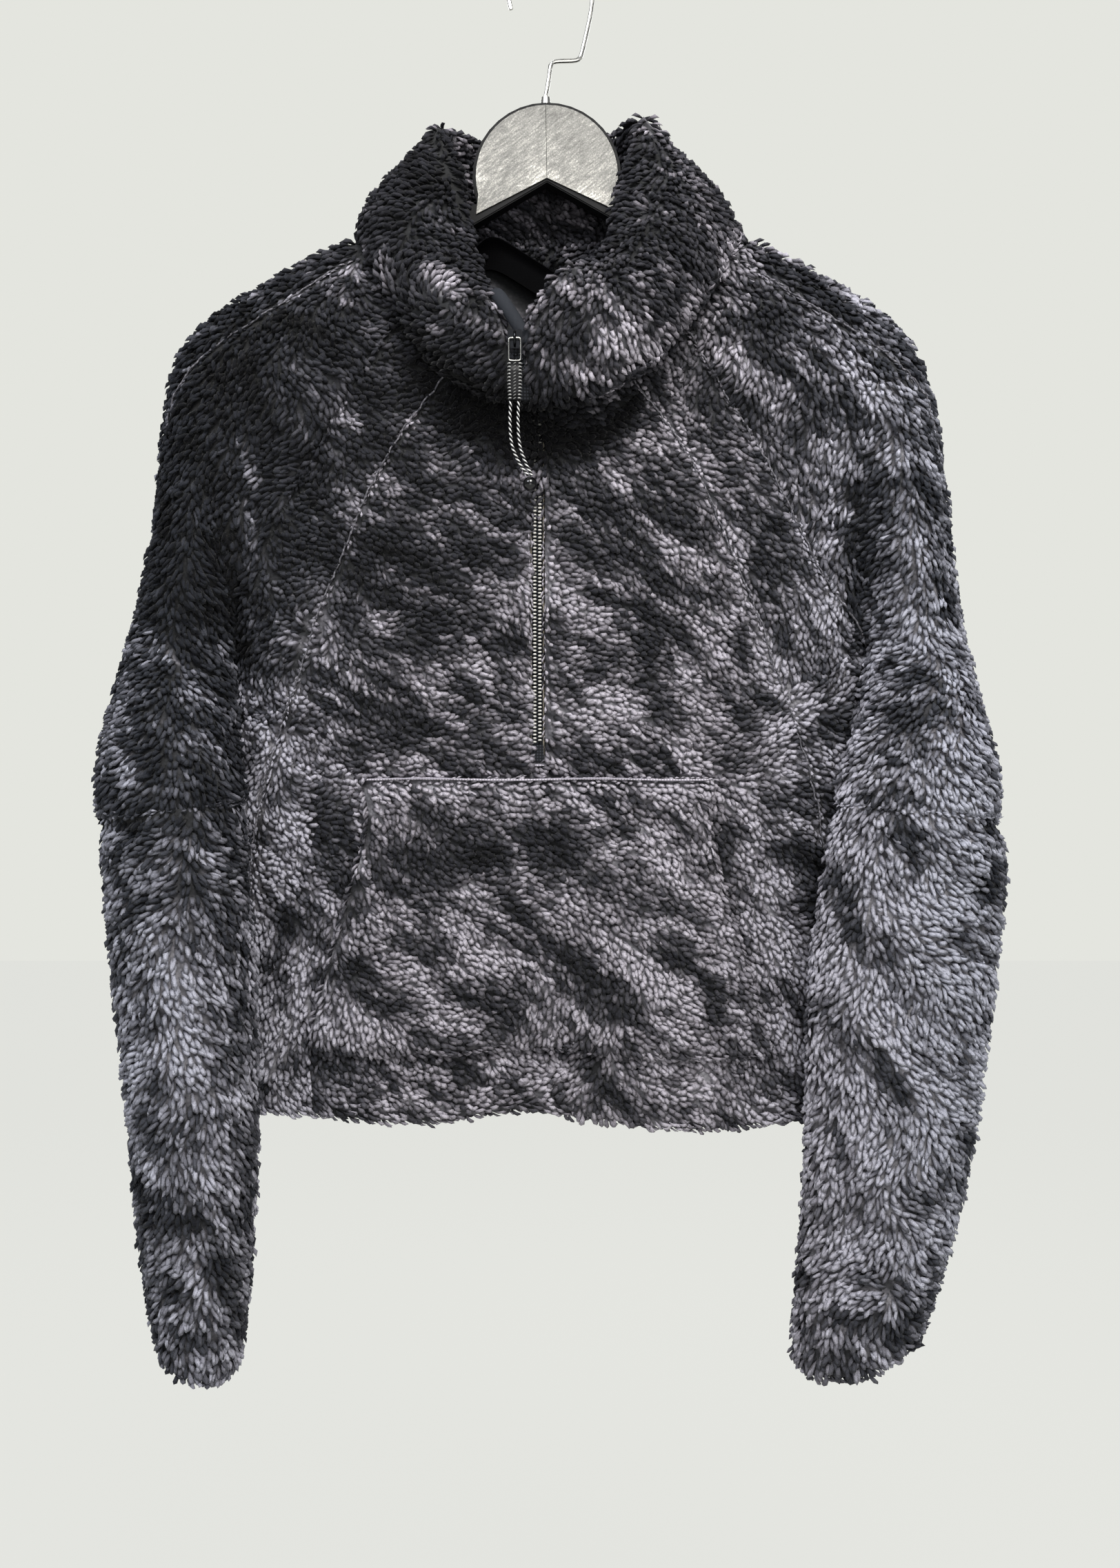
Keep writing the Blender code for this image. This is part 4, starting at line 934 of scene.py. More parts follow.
DRIFTS = [Drift(*values) for values in (
    (-8, -412, 22, 16, 0, 1.3), (-10, -385, 14, 8, 90, 0.8), (-190, -366, 26, 10, -62, 0.9),
    (-158, -432, 32, 8, -50, 0.7), (-78, -468, 26, 11, -60, 0.9), (-45, -465, 12, 11, 0, 0.9),
    (-60, -411, 12, 9, 0, 0.8), (-92, -368, 42, 7, -42, 0.6), (15, -226, 24, 16, 10, 0.9), (36, -270, 24, 7, 40, 1),
    (-74, -216, 30, 9, -52, 0.8), (110, -216, 20, 7, 62, 0.7), (70, -315, 13, 11, 0, 0.7),
    (82, -392, 36, 8, -42, 0.8), (112, -372, 22, 8, -60, 0.6), (165, -336, 12, 15, 0, 0.9),
    (176, -370, 34, 12, 88, 0.7), (160, -425, 30, 18, -20, 0.7), (215, -330, 12, 10, 0, 0.7),
    (205, -380, 10, 9, 0, 0.6), (230, -415, 30, 8, -48, 0.6), (213, -444, 15, 13, 0, 1.2),
    (190, -490, 14, 14, 0, 0.9), (240, -512, 20, 14, -40, 0.8), (85, -465, 14, 14, 0, 0.8),
    (32, -482, 38, 13, 12, 0.7), (-14, -497, 14, 10, 0, 0.7), (-110, -530, 14, 9, 0, 1), (-70, -531, 16, 9, 0, 1),
    (-28, -530, 14, 8, 0, 0.6), (95, -534, 30, 9, 0, 1.1), (58, -566, 24, 12, -52, 1.2), (20, -556, 10, 8, 0, 0.8),
    (148, -508, 38, 20, 0, 0.8), (176, -542, 14, 12, 0, 1), (240, -535, 16, 14, 0, 0.8),
    (-222, -614, 18, 13, 10, 0.8), (-205, -642, 22, 12, 0, 0.6), (-226, -690, 13, 12, 0, 0.8),
    (-208, -756, 32, 10, -36, 0.7), (-187, -716, 14, 8, 90, 0.6), (-204, -830, 20, 8, -25, 0.6),
    (-150, -624, 12, 12, 0, 0.7), (-136, -676, 32, 7, -45, 0.6), (-112, -561, 22, 8, -52, 0.7),
    (-96, -615, 20, 10, -60, 0.7), (-62, -642, 34, 11, 20, 0.9), (-86, -716, 15, 13, 0, 0.7),
    (-106, -736, 14, 8, 0, 0.6), (-20, -690, 20, 8, 80, 0.5), (9, -610, 10, 9, 0, 1), (46, -636, 24, 9, -32, 1.2),
    (80, -678, 26, 10, -66, 1.2), (78, -612, 24, 9, -55, 0.9), (98, -632, 18, 8, -60, 0.7),
    (132, -600, 14, 20, 0, 0.9), (134, -642, 18, 14, 0, 0.8), (122, -682, 18, 8, 0, 0.5), (105, -744, 46, 6, 0, 0.9),
    (165, -640, 12, 18, 0, 1.1), (186, -570, 16, 14, 0, 1.1), (204, -608, 15, 14, 0, 1), (206, -690, 46, 12, -50, 1),
    (232, -598, 24, 14, 20, 1), (246, -560, 14, 16, 0, 0.9), (232, -734, 22, 12, 80, 0.8),
    (184, -734, 34, 7, -46, 0.7), (200, -770, 14, 12, 0, 0.8), (175, -820, 20, 13, 80, 0.9),
    (226, -790, 20, 7, 10, 0.8), (200, -880, 18, 10, 0, 0.6), (252, -650, 12, 22, 90, 0.6),
    (-150, -244, 38, 17, 0, -1), (-90, -236, 22, 10, 90, -0.9), (-186, -296, 30, 14, -60, -1),
    (-216, -300, 24, 10, 80, -0.7), (-141, -352, 32, 11, 88, -0.8), (-114, -380, 12, 10, 0, -0.8),
    # the strokes at heights -296 and -306, under the collar's roll, are dark print and painted shade together
    (-126, -262, 18, 12, 0, -0.7), (-50, -296, 40, 22, -20, -0.8), (20, -306, 34, 13, 10, -0.8),
    (-232, -404, 22, 9, 0, -0.7), (-200, -432, 14, 22, 0, -0.8), (-232, -514, 18, 12, 0, -0.8),
    (-187, -524, 18, 9, 80, -0.9), (-84, -428, 34, 6, -30, -0.9), (-30, -446, 12, 9, 0, -0.8),
    (-90, -488, 26, 6, -22, -0.8), (-40, -492, 18, 8, 0, -0.5), (60, -440, 22, 12, 20, -0.7),
    (28, -366, 28, 24, 0, -0.5), (95, -320, 12, 9, 0, -0.7), (125, -390, 9, 16, 0, -0.8),
    (118, -480, 22, 14, 0, -0.8), (165, -308, 12, 10, 0, -0.8), (197, -390, 62, 6, 90, -0.8),
    (232, -366, 16, 22, 0, -0.5), (220, -490, 26, 11, 10, -0.8), (122, -250, 18, 12, 30, -0.7),
    (95, -232, 20, 8, 70, -0.8), (-215, -543, 40, 9, -3, -0.8), (-150, -560, 24, 14, 0, -0.8),
    (-85, -545, 16, 6, -10, -0.8), (-80, -580, 30, 15, 0, -1), (-184, -580, 10, 16, 0, -0.7),
    (-28, -576, 30, 9, -5, -0.9), (6, -582, 20, 9, -36, -1), (10, -634, 44, 9, -42, -1),
    (-60, -605, 28, 7, -26, -0.8), (35, -546, 26, 6, -45, -1), (98, -560, 22, 8, 0, -0.8),
    (145, -580, 16, 10, 0, -0.8), (116, -616, 16, 7, -60, -0.9), (118, -640, 20, 6, -45, -0.7),
    (95, -666, 9, 8, 0, -0.7), (74, -640, 8, 7, 0, -0.7), (-165, -694, 32, 11, -5, -1), (-150, -720, 22, 9, 0, -0.8),
    (-192, -666, 20, 9, 10, -0.7), (-62, -698, 28, 8, -35, -0.8), (-30, -730, 15, 13, 0, -0.9),
    (14, -728, 16, 8, -10, -0.8), (128, -718, 34, 11, 0, -0.7), (178, -598, 20, 9, -70, -1.5),
    (182, -692, 46, 9, -40, -0.9), (206, -556, 24, 8, -50, -1.6), (234, -630, 26, 9, 22, -1.2),
    (264, -592, 14, 15, 0, -1.3), (240, -672, 9, 8, 0, -0.7), (165, -790, 20, 9, 0, -0.8),
    (155, -832, 28, 6, 90, -0.7), (222, -773, 20, 5, 8, -0.9), (216, -846, 18, 9, 0, -0.9),
    (160, -890, 16, 7, 0, -0.7), (180, -856, 14, 6, 0, -0.8), (-206, -784, 34, 10, -26, -0.8),
    (-228, -778, 32, 7, -48, -0.8), (-245, -842, 14, 8, 80, -0.8),
    # painted shade under the collar's roll, in the sleeves' folds, at the elbows
    (-68, -292, 26, 15, -45, -2.4), (-34, -318, 30, 13, -15, -2.6), (12, -322, 30, 12, 22, -2.4),
    (46, -298, 22, 11, 55, -2.2), (-8, -308, 34, 14, 0, -1.8), (-54, -277, 36, 15, -35, -1.5),
    (-86, -255, 16, 12, -40, -0.9), (-200, -402, 68, 5, -83, -1.3), (191, -396, 68, 5, -89, -1.2),
    (-256, -553, 22, 3, 0, -2), (264, -556, 18, 3, 0, -1.8), (8, -200, 60, 36, 0, -1.2),
    # slow changes from sleeve to sleeve, and the collar's lump: partly print, partly painted light and shade
    (-215, -340, 150, 48, 85, -1.0), (-225, -845, 70, 55, 80, -0.2), (-225, -690, 70, 50, 85, 0.5),
    (222, -620, 110, 60, 85, 0.35), (210, -850, 60, 60, 0, -0.35), (208, -390, 90, 40, 85, -0.45),
    (-74, -152, 56, 50, 0, -1.1), (58, -148, 36, 34, 0, -0.6), (75, -190, 60, 60, 0, -0.1),
    (36, -276, 30, 22, 40, 0.9), (-90, -350, 95, 80, 40, -0.75), (75, -400, 90, 80, 0, -0.3),
    (0, -640, 150, 90, 0, -0.2),
    # pressed bands of the pocket: its top and its sides
    (-62, -535, 60, 4, 0, 1), (48, -535, 56, 4, 0, 0.9), (-118.5, -572, 30, 3, -78, 1.6), (96, -561, 20, 3, -77, 1.6),
    # a darker patch on the upper left sleeve: partly print, partly painted shade
    (-190, -262, 60, 30, 40, -0.4),
)]
TONE_STEP = 0.095          # what a full stroke adds to the print's shade
FADE_ASIDE, FADE_DOWN = 0.035, 0.045   # the garment grows paler to the right and downwards, partly in its print and partly as painted light
TONE_LEAST, TONE_MOST = -3.0, 1.5      # strokes that lie over each other add up to no more than this
BACK_SHIFT = (13.0, 21.0)  # the back's print is the front's, mirrored and moved by this
CREASE_FADE = 16.0         # creases fade out over this depth as they near the garment's middle
HELD_ASIDE, FREE_ASIDE = 10.0, 18.0    # the zip holds the cloth this far aside, and lets it go over this much more
ZIP_FOOT = -545.0          # below this height nothing holds the front's middle
WAVES_ACROSS = ((2.6, 0.11, 0.17, 1.3), (2.0, -0.23, 0.41, 0.0), (1.6, 0.83, 0.37, 0.0))   # fray a stroke's edge:
WAVES_DOWN = ((2.6, 0.15, -0.09, 0.7), (2.0, 0.37, 0.19, 0.0), (1.6, -0.45, 0.71, 0.0))    # size, two rates, start


def axis_depth(z: np.ndarray) -> np.ndarray:
    """Depth of a sleeve's middle line at heights in millimetres; below the elbow it hangs forward."""
    return np.interp(-z, [445, 504, 548, 590, 665, 872], [0, -37, -50, -55, -57, -55])


def print_and_painted_light_tone(points: np.ndarray) -> np.ndarray:
    """Tone that the placed strokes and the slow change over the garment add to the print: mostly print, partly painted
    light and shade.

    Args:
        points: Places in millimetres, one row each. The back has the front's strokes, mirrored and shifted.

    Returns:
        What to add to the print at each place.
    """
    x, y, z = points.T
    behind = y > axis_depth(z) * (np.abs(x) > 150) + 6
    x, z_seen = np.where(behind, -x + BACK_SHIFT[0], x), np.where(behind, z + BACK_SHIFT[1], z)
    across, down = (
        way + sum(size * np.sin(u * x + v * z_seen + start) for size, u, v, start in waves)
        for way, waves in ((x, WAVES_ACROSS), (z_seen, WAVES_DOWN))
    )
    tone = sum(drift.tone_at(across, down) for drift in DRIFTS)
    slow = FADE_ASIDE * np.clip(across / 200, -1, 1) + FADE_DOWN * np.clip((-z - 430) / 250, -1, 1)
    return TONE_STEP * np.clip(tone, TONE_LEAST, TONE_MOST) + slow


def crease_shift(points: np.ndarray, on_sleeve: bool) -> np.ndarray:
    """How far the creases move points towards the garment's middle.

    Args:
        points: Places in millimetres, one row each.
        on_sleeve: Whether they belong to a sleeve's tube below the underarm.

    Returns:
        Shifts along Y, in millimetres.
    """
    x, y, z = points.T
    middle = axis_depth(z) if on_sleeve else np.zeros_like(z)
    shift = np.zeros_like(z)
    for face, sign in ((Face.FRONT, 1.0), (Face.BACK, -1.0)):
        depth = sum(crease.depth_at(x, z) for crease in CREASES[face])
        free = smooth_step(sign * (middle - y) / CREASE_FADE)
        if not on_sleeve:
            aside = smooth_step((np.abs(x - CENTRE_X) - HELD_ASIDE) / FREE_ASIDE)
            free = free * np.where(z > ZIP_FOOT, aside, 1.0)
        shift += sign * depth * free
    return shift


class FrontOf:
    """The outside of a CAD node, found by looking at it from the front."""

    def __init__(self, node: str) -> None:
        """Keep the node's faces to look at."""
        mesh = bpy.data.objects[node].data
        self.tree = BVHTree.FromPolygons([v.co for v in mesh.vertices], [p.vertices for p in mesh.polygons])

    def line(self, places: Iterable[tuple[float, float]],
             offset: tuple[float, float, float] = (0, 0, 0)) -> list[Vector]:
        """Where the front of the node is.

        Args:
            places: Across and up, in millimetres.
            offset: What is added to each point, in millimetres.

        Returns:
            Points in metres, without the places that miss the node.
        """
        hits = (self.tree.ray_cast(Vector((x * MM, -0.5, z * MM)), Vector((0, 1, 0)))[0] for x, z in places)
        return [hit + Vector(offset) * MM for hit in hits if hit]


@dataclass(frozen=True)
class Nap:
    """How pile is combed: where its locks point, how they fall, how close and how big they are."""

    lay: tuple[float, float, float] = (0.75, 0.0, -0.45)
    splay: float = 0.6                   # how much the pile falls away from the crest
    spacing: float = 2.5                 # least distance between locks, in mm
    lock: tuple[float, float, float] = (1.2, 1.16, 0.66)   # their length, width and height against the usual


FRONT_NAP = Nap()
BACK_NAP = Nap(spacing=2.95, lock=(1.5, 1.25, 0.84))
SLEEVE_NAP = Nap((0.0, 0.0, -0.8), 1.3, 2.6, (1.5, 1.1, 0.82))
SLEEVE_BACK_NAP = Nap((0.0, 0.0, -0.8), 1.4, 2.95, (1.62, 1.24, 0.92))
LEFT_FOREARM_NAP = Nap((0.0, 0.0, -0.9), 1.1, 2.6, (1.5, 1.12, 0.8))
RIGHT_FOREARM_NAP = Nap((0.3, 0.0, -0.9), 1.1, 2.6, (1.5, 1.12, 0.8))
COLLAR_NAP = Nap((0.0, 0.0, -0.6), 1.0, 2.7, (1.4, 1.12, 0.92))
ZIP_TOP_NAP = Nap((0.0, 0.0, -1.0), 0.2, 2.3, (1.3, 1.08, 0.8))


@dataclass
class Cloth:
    """One cut panel: its shell, its coat of pile, and its size before sewing."""

    node: str
    cut: tuple[float, float]             # width and length of the flat piece, in mm
    area: float                          # the flat piece's area, in square metres
    seed: int                            # places its locks
    nap: Nap = FRONT_NAP
    creased: bool = True
    both_sides: bool = False             # pile on the inner skin too
    covered: tuple[float, ...] = (0.0, 0.0, 0.0, 0.0)      # x1, x2, z1, z2 hidden under another panel
    rim: float = 48.0                    # the wall's rims turn by more than this, in degrees

    def split(self) -> bmesh.types.BMesh:
        """Merge the CAD solid and tell its two skins and its rims apart.

        Returns:
            The working mesh, with outer faces 0, inner faces 1 and rims 2.
        """
        work = merged_copy(self.node)
        crease = work.edges.layers.float.new("crease_edge")
        for edge in work.edges:
            if edge.calc_face_angle(0.0) > math.radians(self.rim):
                edge[crease] = 1.0
        work.faces.ensure_lookup_table()
        seen, groups = set(), []
        for face in work.faces:
            if face.index in seen:
                continue
            stack, members = [face], []
            seen.add(face.index)
            while stack:
                at = stack.pop()
                members.append(at)
                for edge in at.edges:
                    if edge[crease] < 0.5:
                        stack += [other for other in edge.link_faces if other.index not in seen]
                        seen.update(other.index for other in edge.link_faces)
            groups.append(members)
        skins = sorted(groups, key=lambda group: -sum(f.calc_area() for f in group))[:2]
        middle = sum((v.co for v in work.verts), Vector()) / len(work.verts)
        skins.sort(key=lambda skin: -sum(f.calc_area() * f.normal.dot(f.calc_center_median() - middle) for f in skin))
        for face in work.faces:
            face.material_index, face.smooth = 2, True
        for number, skin in enumerate(skins):
            for face in skin:
                face.material_index = number
        return work

    def formed(self, levels: int) -> bpy.types.Mesh:
        """Make the panel's closed shell, subdivided and creased.

        Args:
            levels: How many times it is subdivided.

        Returns:
            The shell's mesh, with the skins told apart by material index.
        """
        mesh = mesh_from(self.split(), bpy.data.meshes.new(self.node))
        for _ in range(3):
            mesh.materials.append(None)
        temp = bpy.data.objects.new("forming", mesh)
        bpy.context.scene.collection.objects.link(temp)
        mesh = subdivide(temp, levels).data
        if self.creased:
            points = points_of(mesh)
            points[:, 1] += crease_shift(points, self.node.startswith("sleeve_lower"))
            move_points(mesh, points)
        bpy.data.objects.remove(temp)
        return mesh

    def shell(self) -> bpy.types.Object:
        """Make the ground fabric with its knitted inside.

        Returns:
            The shell, standing for the CAD node.
        """
        mesh = self.formed(1)
        slots = np.zeros(len(mesh.polygons), int)
        mesh.polygons.foreach_get("material_index", slots)
        mesh.polygons.foreach_set("material_index", np.where((slots == 1) & (not self.both_sides), 1, 0))
        store(mesh, "drift", print_and_painted_light_tone(points_of(mesh)))
        made = new_object(f"{self.node}_cloth", mesh, GROUND, BACKING)
        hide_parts(self.node)
        return made

    def skin(self) -> bpy.types.Object:
        """Make the skin that the pile grows from.

        Returns:
            The skin without its inside and the part that another panel covers.
        """
        mesh = self.formed(2)
        work = bmesh.new()
        work.from_mesh(mesh)
        x1, x2, z1, z2 = (c * MM for c in self.covered)
        hidden = [
            f for f in work.faces if f.material_index == 1 and not self.both_sides
            or f.material_index != 1 and x1 < f.calc_center_median().x < x2 and z1 < f.calc_center_median().z < z2
        ]
        bmesh.ops.delete(work, geom=hidden, context="FACES")
        return new_object(f"{self.node}_pile", mesh_from(work, mesh))

    def build(self, coat: PileCoat) -> None:
        """Args:
            coat: The pile's scatterer.
        """
        shell = finish_piece(self.shell(), COAT)
        pile = finish_piece(coat.grow(self.skin(), self.nap, self.seed), COAT)


@dataclass
class Tuft:
    """A lock of pile that springs up from the ground and lies over, drawn with twelve triangles."""

    name: str
    reach: float               # how far it lies over, in mm
    height: float
    girth: float
    curl: float

    def build(self) -> bpy.types.Object:
        """Make the lock with its painted shade: dark at the root and on the side towards the cloth, pale at its free
        end.
        """
        low = (0.30 * self.reach, 0.0, 0.62 * self.height)
        high = (0.74 * self.reach, 0.25 * self.curl, 0.98 * self.height)
        # painted shade for each point: 0 at the root, higher on the side away from the cloth, 1 at the free end
        points, shade = [(-0.25 * self.reach, 0.0, -1.2)], [0.0]
        for i, (centre, swell, tone) in enumerate(((low, 0.86, 0.42), (high, 1.0, 0.85))):
            for k in range(3):
                turn = math.tau * (k + 0.5 * i) / 3 + 0.5
                lift = math.sin(turn) * self.girth * swell * 0.5
                aside = math.cos(turn) * self.girth * swell * 0.5
                points.append((centre[0] - lift * 0.45, centre[1] + aside, centre[2] + lift * 0.8))
                shade.append(tone + 0.16 * math.sin(turn))
        points.append((self.reach, self.curl * 0.5, 0.86 * self.height))
        faces = []
        for k in range(3):
            n = (k + 1) % 3
            faces += [(0, 1 + n, 1 + k), (1 + k, 1 + n, 4 + k), (1 + n, 4 + n, 4 + k), (4 + k, 4 + n, 7)]
        mesh = mesh_of(self.name, points, faces)
        store(mesh, "tip", [*shade, 1.0])
        return bpy.data.objects.new(self.name, mesh)


@dataclass
class PileCoat:
    """The pile: locks scattered over each panel, shorter and flatter beside the seams."""

    seams: bpy.types.Object
    tufts: tuple[Tuft, ...] = (
        Tuft("lock_long", 6.2, 3.4, 3.0, 1.2), Tuft("lock_round", 5.0, 3.9, 3.4, -0.8),
        Tuft("lock_slim", 5.8, 3.0, 2.6, -1.4), Tuft("lock_short", 4.6, 3.5, 3.1, 0.5),
    )
    crowd: float = 3.2         # places tried for a lock, against one per square of the spacing
    pressed: tuple[float, float, float] = (0.34, 0.1, 0.6)      # length, width and height lost beside a seam
    flat: tuple[float, float] = (1.2, 5.4)                      # how near a seam the pile is flat and free, in mm
    swirls: float = 14.0       # swirls of the combing per metre
    gust: float = 3.4          # how far a swirl turns the locks
    turned: tuple[tuple[float, float, float], ...] = ((-0.22, -0.34, -0.5), (0.22, 0.26, 0.5))   # radians, both ways
    sized: tuple[tuple[float, float, float], ...] = ((0.82, 0.86, 0.78), (1.16, 1.12, 1.22))     # least and most
    top_half: float = 6.5      # half the width of the strip over the zip's top, in mm
    top_curve: float = 0.35    # how much the strip falls back for each of its columns
    top_seed: int = 77

    def __post_init__(self) -> None:
        """Make the locks and the tree that scatters them."""
        self.shapes = bpy.data.collections.new("pile_locks")
        for tuft in self.tufts:
            self.shapes.objects.link(tuft.build())
        self.tree = self.scatter_tree()

    def scatter_tree(self) -> bpy.types.NodeTree:
        """Scatter, lay and shorten the locks over a skin.

        Returns:
            The tree, with fixed seeds.
        """
        tree, give = geometry_tree("pile_coat", {
            "Spacing": "Float", "Lay": "Vector", "Splay": "Float", "Size": "Vector", "Seed": "Int",
            "Locks": "Collection", "Seams": "Object", "Material": "Material",
        })
        square = add_node(tree, "ShaderNodeMath", {0: give["Spacing"], 1: give["Spacing"]}, operation="MULTIPLY")
        dense = add_node(tree, "ShaderNodeMath", {0: self.crowd, 1: square}, operation="DIVIDE")
        points = add_node(
            tree, "GeometryNodeDistributePointsOnFaces",
            {"Mesh": give["Geometry"], "Distance Min": give["Spacing"], "Density Max": dense,
             "Density Factor": 1.0, "Seed": give["Seed"]},
            distribute_method="POISSON",
        )
        place = add_node(tree, "GeometryNodeInputPosition")
        lines = add_node(tree, "GeometryNodeObjectInfo", {"Object": give["Seams"]}, transform_space="ORIGINAL")
        near = add_node(
            tree, "GeometryNodeProximity", {0: lines.outputs["Geometry"], "Sample Position": place},
            target_element="EDGES",
        )
        flat = add_node(
            tree, "ShaderNodeMapRange",
            {"Value": near.outputs["Distance"], "From Min": self.flat[0] * MM, "From Max": self.flat[1] * MM,
             "To Min": 1.0, "To Max": 0.0},
            interpolation_type="SMOOTHSTEP",
        )
        chance = add_node(tree, "FunctionNodeRandomValue", {"Seed": 5}, data_type="FLOAT")
        stored = points.outputs["Points"]
        for name, kind, value in (
            ("root", "FLOAT_VECTOR", place), ("flat", "FLOAT", flat), ("chance", "FLOAT", chance.outputs[1]),
        ):
            stored = add_node(
                tree, "GeometryNodeStoreNamedAttribute", {"Geometry": stored, "Name": name, "Value": value},
                data_type=kind, domain="POINT",
            )
        normal = points.outputs["Normal"]
        fall = add_node(tree, "ShaderNodeVectorMath", {0: normal, 1: (1.0, 0.0, 0.0)}, operation="MULTIPLY")
        fall = add_node(tree, "ShaderNodeVectorMath", {0: fall, "Scale": give["Splay"]}, operation="SCALE")
        wind = add_node(tree, "ShaderNodeTexNoise", {"Vector": place, "Scale": self.swirls, "Detail": 1.0})
        wind = add_node(
            tree, "ShaderNodeVectorMath", {0: wind.outputs["Color"], 1: (0.5, 0.5, 0.5)}, operation="SUBTRACT")
        gust = add_node(
            tree, "ShaderNodeVectorMath", {0: wind, 1: (self.gust,) * 3, 2: give["Lay"]}, operation="MULTIPLY_ADD")
        lay = add_node(tree, "ShaderNodeVectorMath", {0: gust, 1: fall}, operation="ADD")
        frame = add_node(
            tree, "FunctionNodeAxesToRotation", {"Primary Axis": normal, "Secondary Axis": lay},
            primary_axis="Z", secondary_axis="X",
        )
        loose, size = (
            add_node(tree, "FunctionNodeRandomValue", {0: least, 1: most, "Seed": seed}, data_type="FLOAT_VECTOR")
            for least, most, seed in ((*self.turned, 11), (*self.sized, 21))
        )
        euler = add_node(tree, "FunctionNodeEulerToRotation", {0: loose})
        turned = add_node(
            tree, "FunctionNodeRotateRotation", {"Rotation": frame, "Rotate By": euler}, rotation_space="LOCAL")
        lost = add_node(tree, "ShaderNodeVectorMath", {0: self.pressed, "Scale": flat}, operation="SCALE")
        press = add_node(tree, "ShaderNodeVectorMath", {0: (1.0, 1.0, 1.0), 1: lost}, operation="SUBTRACT")
        for more in (press, give["Size"]):
            size = add_node(tree, "ShaderNodeVectorMath", {0: size, 1: more}, operation="MULTIPLY")
        shapes = add_node(
            tree, "GeometryNodeCollectionInfo",
            {"Collection": give["Locks"], "Separate Children": True, "Reset Children": True},
            transform_space="ORIGINAL",
        )
        which = add_node(tree, "FunctionNodeRandomValue", {4: 0, 5: 3, "Seed": 31}, data_type="INT")
        locks = add_node(
            tree, "GeometryNodeInstanceOnPoints",
            {"Points": stored, "Instance": shapes, "Pick Instance": True, "Instance Index": which.outputs[2],
             "Rotation": turned, "Scale": size},
        )
        end_tree(tree, locks, give["Material"])
        return tree

    def grow(self, skin: bpy.types.Object, nap: Nap, seed: int) -> bpy.types.Object:
        """Turn a skin into the locks that grow from it.

        Args:
            skin: The skin, whose mesh is replaced.
            nap: How they are combed.
            seed: What places them.

        Returns:
            The same object as one plain mesh of locks.
        """
        run_tree(skin, self.tree, {
            "Spacing": nap.spacing * MM, "Lay": nap.lay, "Splay": nap.splay, "Size": nap.lock,
            "Seed": seed, "Locks": self.shapes, "Seams": self.seams, "Material": PILE.material(),
        })
        mesh = skin.data
        root = np.zeros(len(mesh.vertices) * 3)
        mesh.attributes["root"].data.foreach_get("vector", root)
        store(mesh, "drift", print_and_painted_light_tone(root.reshape(-1, 3) / MM))
        LOG.info("%s: %d locks", skin.name, len(mesh.polygons) // 12)
        return skin

    def close_over(self, chain: FrontOf) -> None:
        """Let the pile of both sides meet over the top of the zip, in the collar's shade.

        Args:
            chain: The front of the zip's chain.
        """
        rows = [hit / MM for hit in chain.line((CENTRE_X, z) for z in range(-352, -298, 3))]
        points = [
            (row.x + self.top_half * k / 2, row.y - 0.5 + self.top_curve * abs(k), row.z)
            for row in rows for k in (-2, -1, 0, 1, 2)
        ]
        faces = [(i + k, i + k + 1, i + k + 6, i + k + 5) for i in range(0, 5 * len(rows) - 5, 5) for k in range(4)]
        strip = new_object("zip_top_pile", mesh_of("zip_top_pile", points, faces, closed=False))
        finish_piece(self.grow(strip, ZIP_TOP_NAP, self.top_seed), COAT)


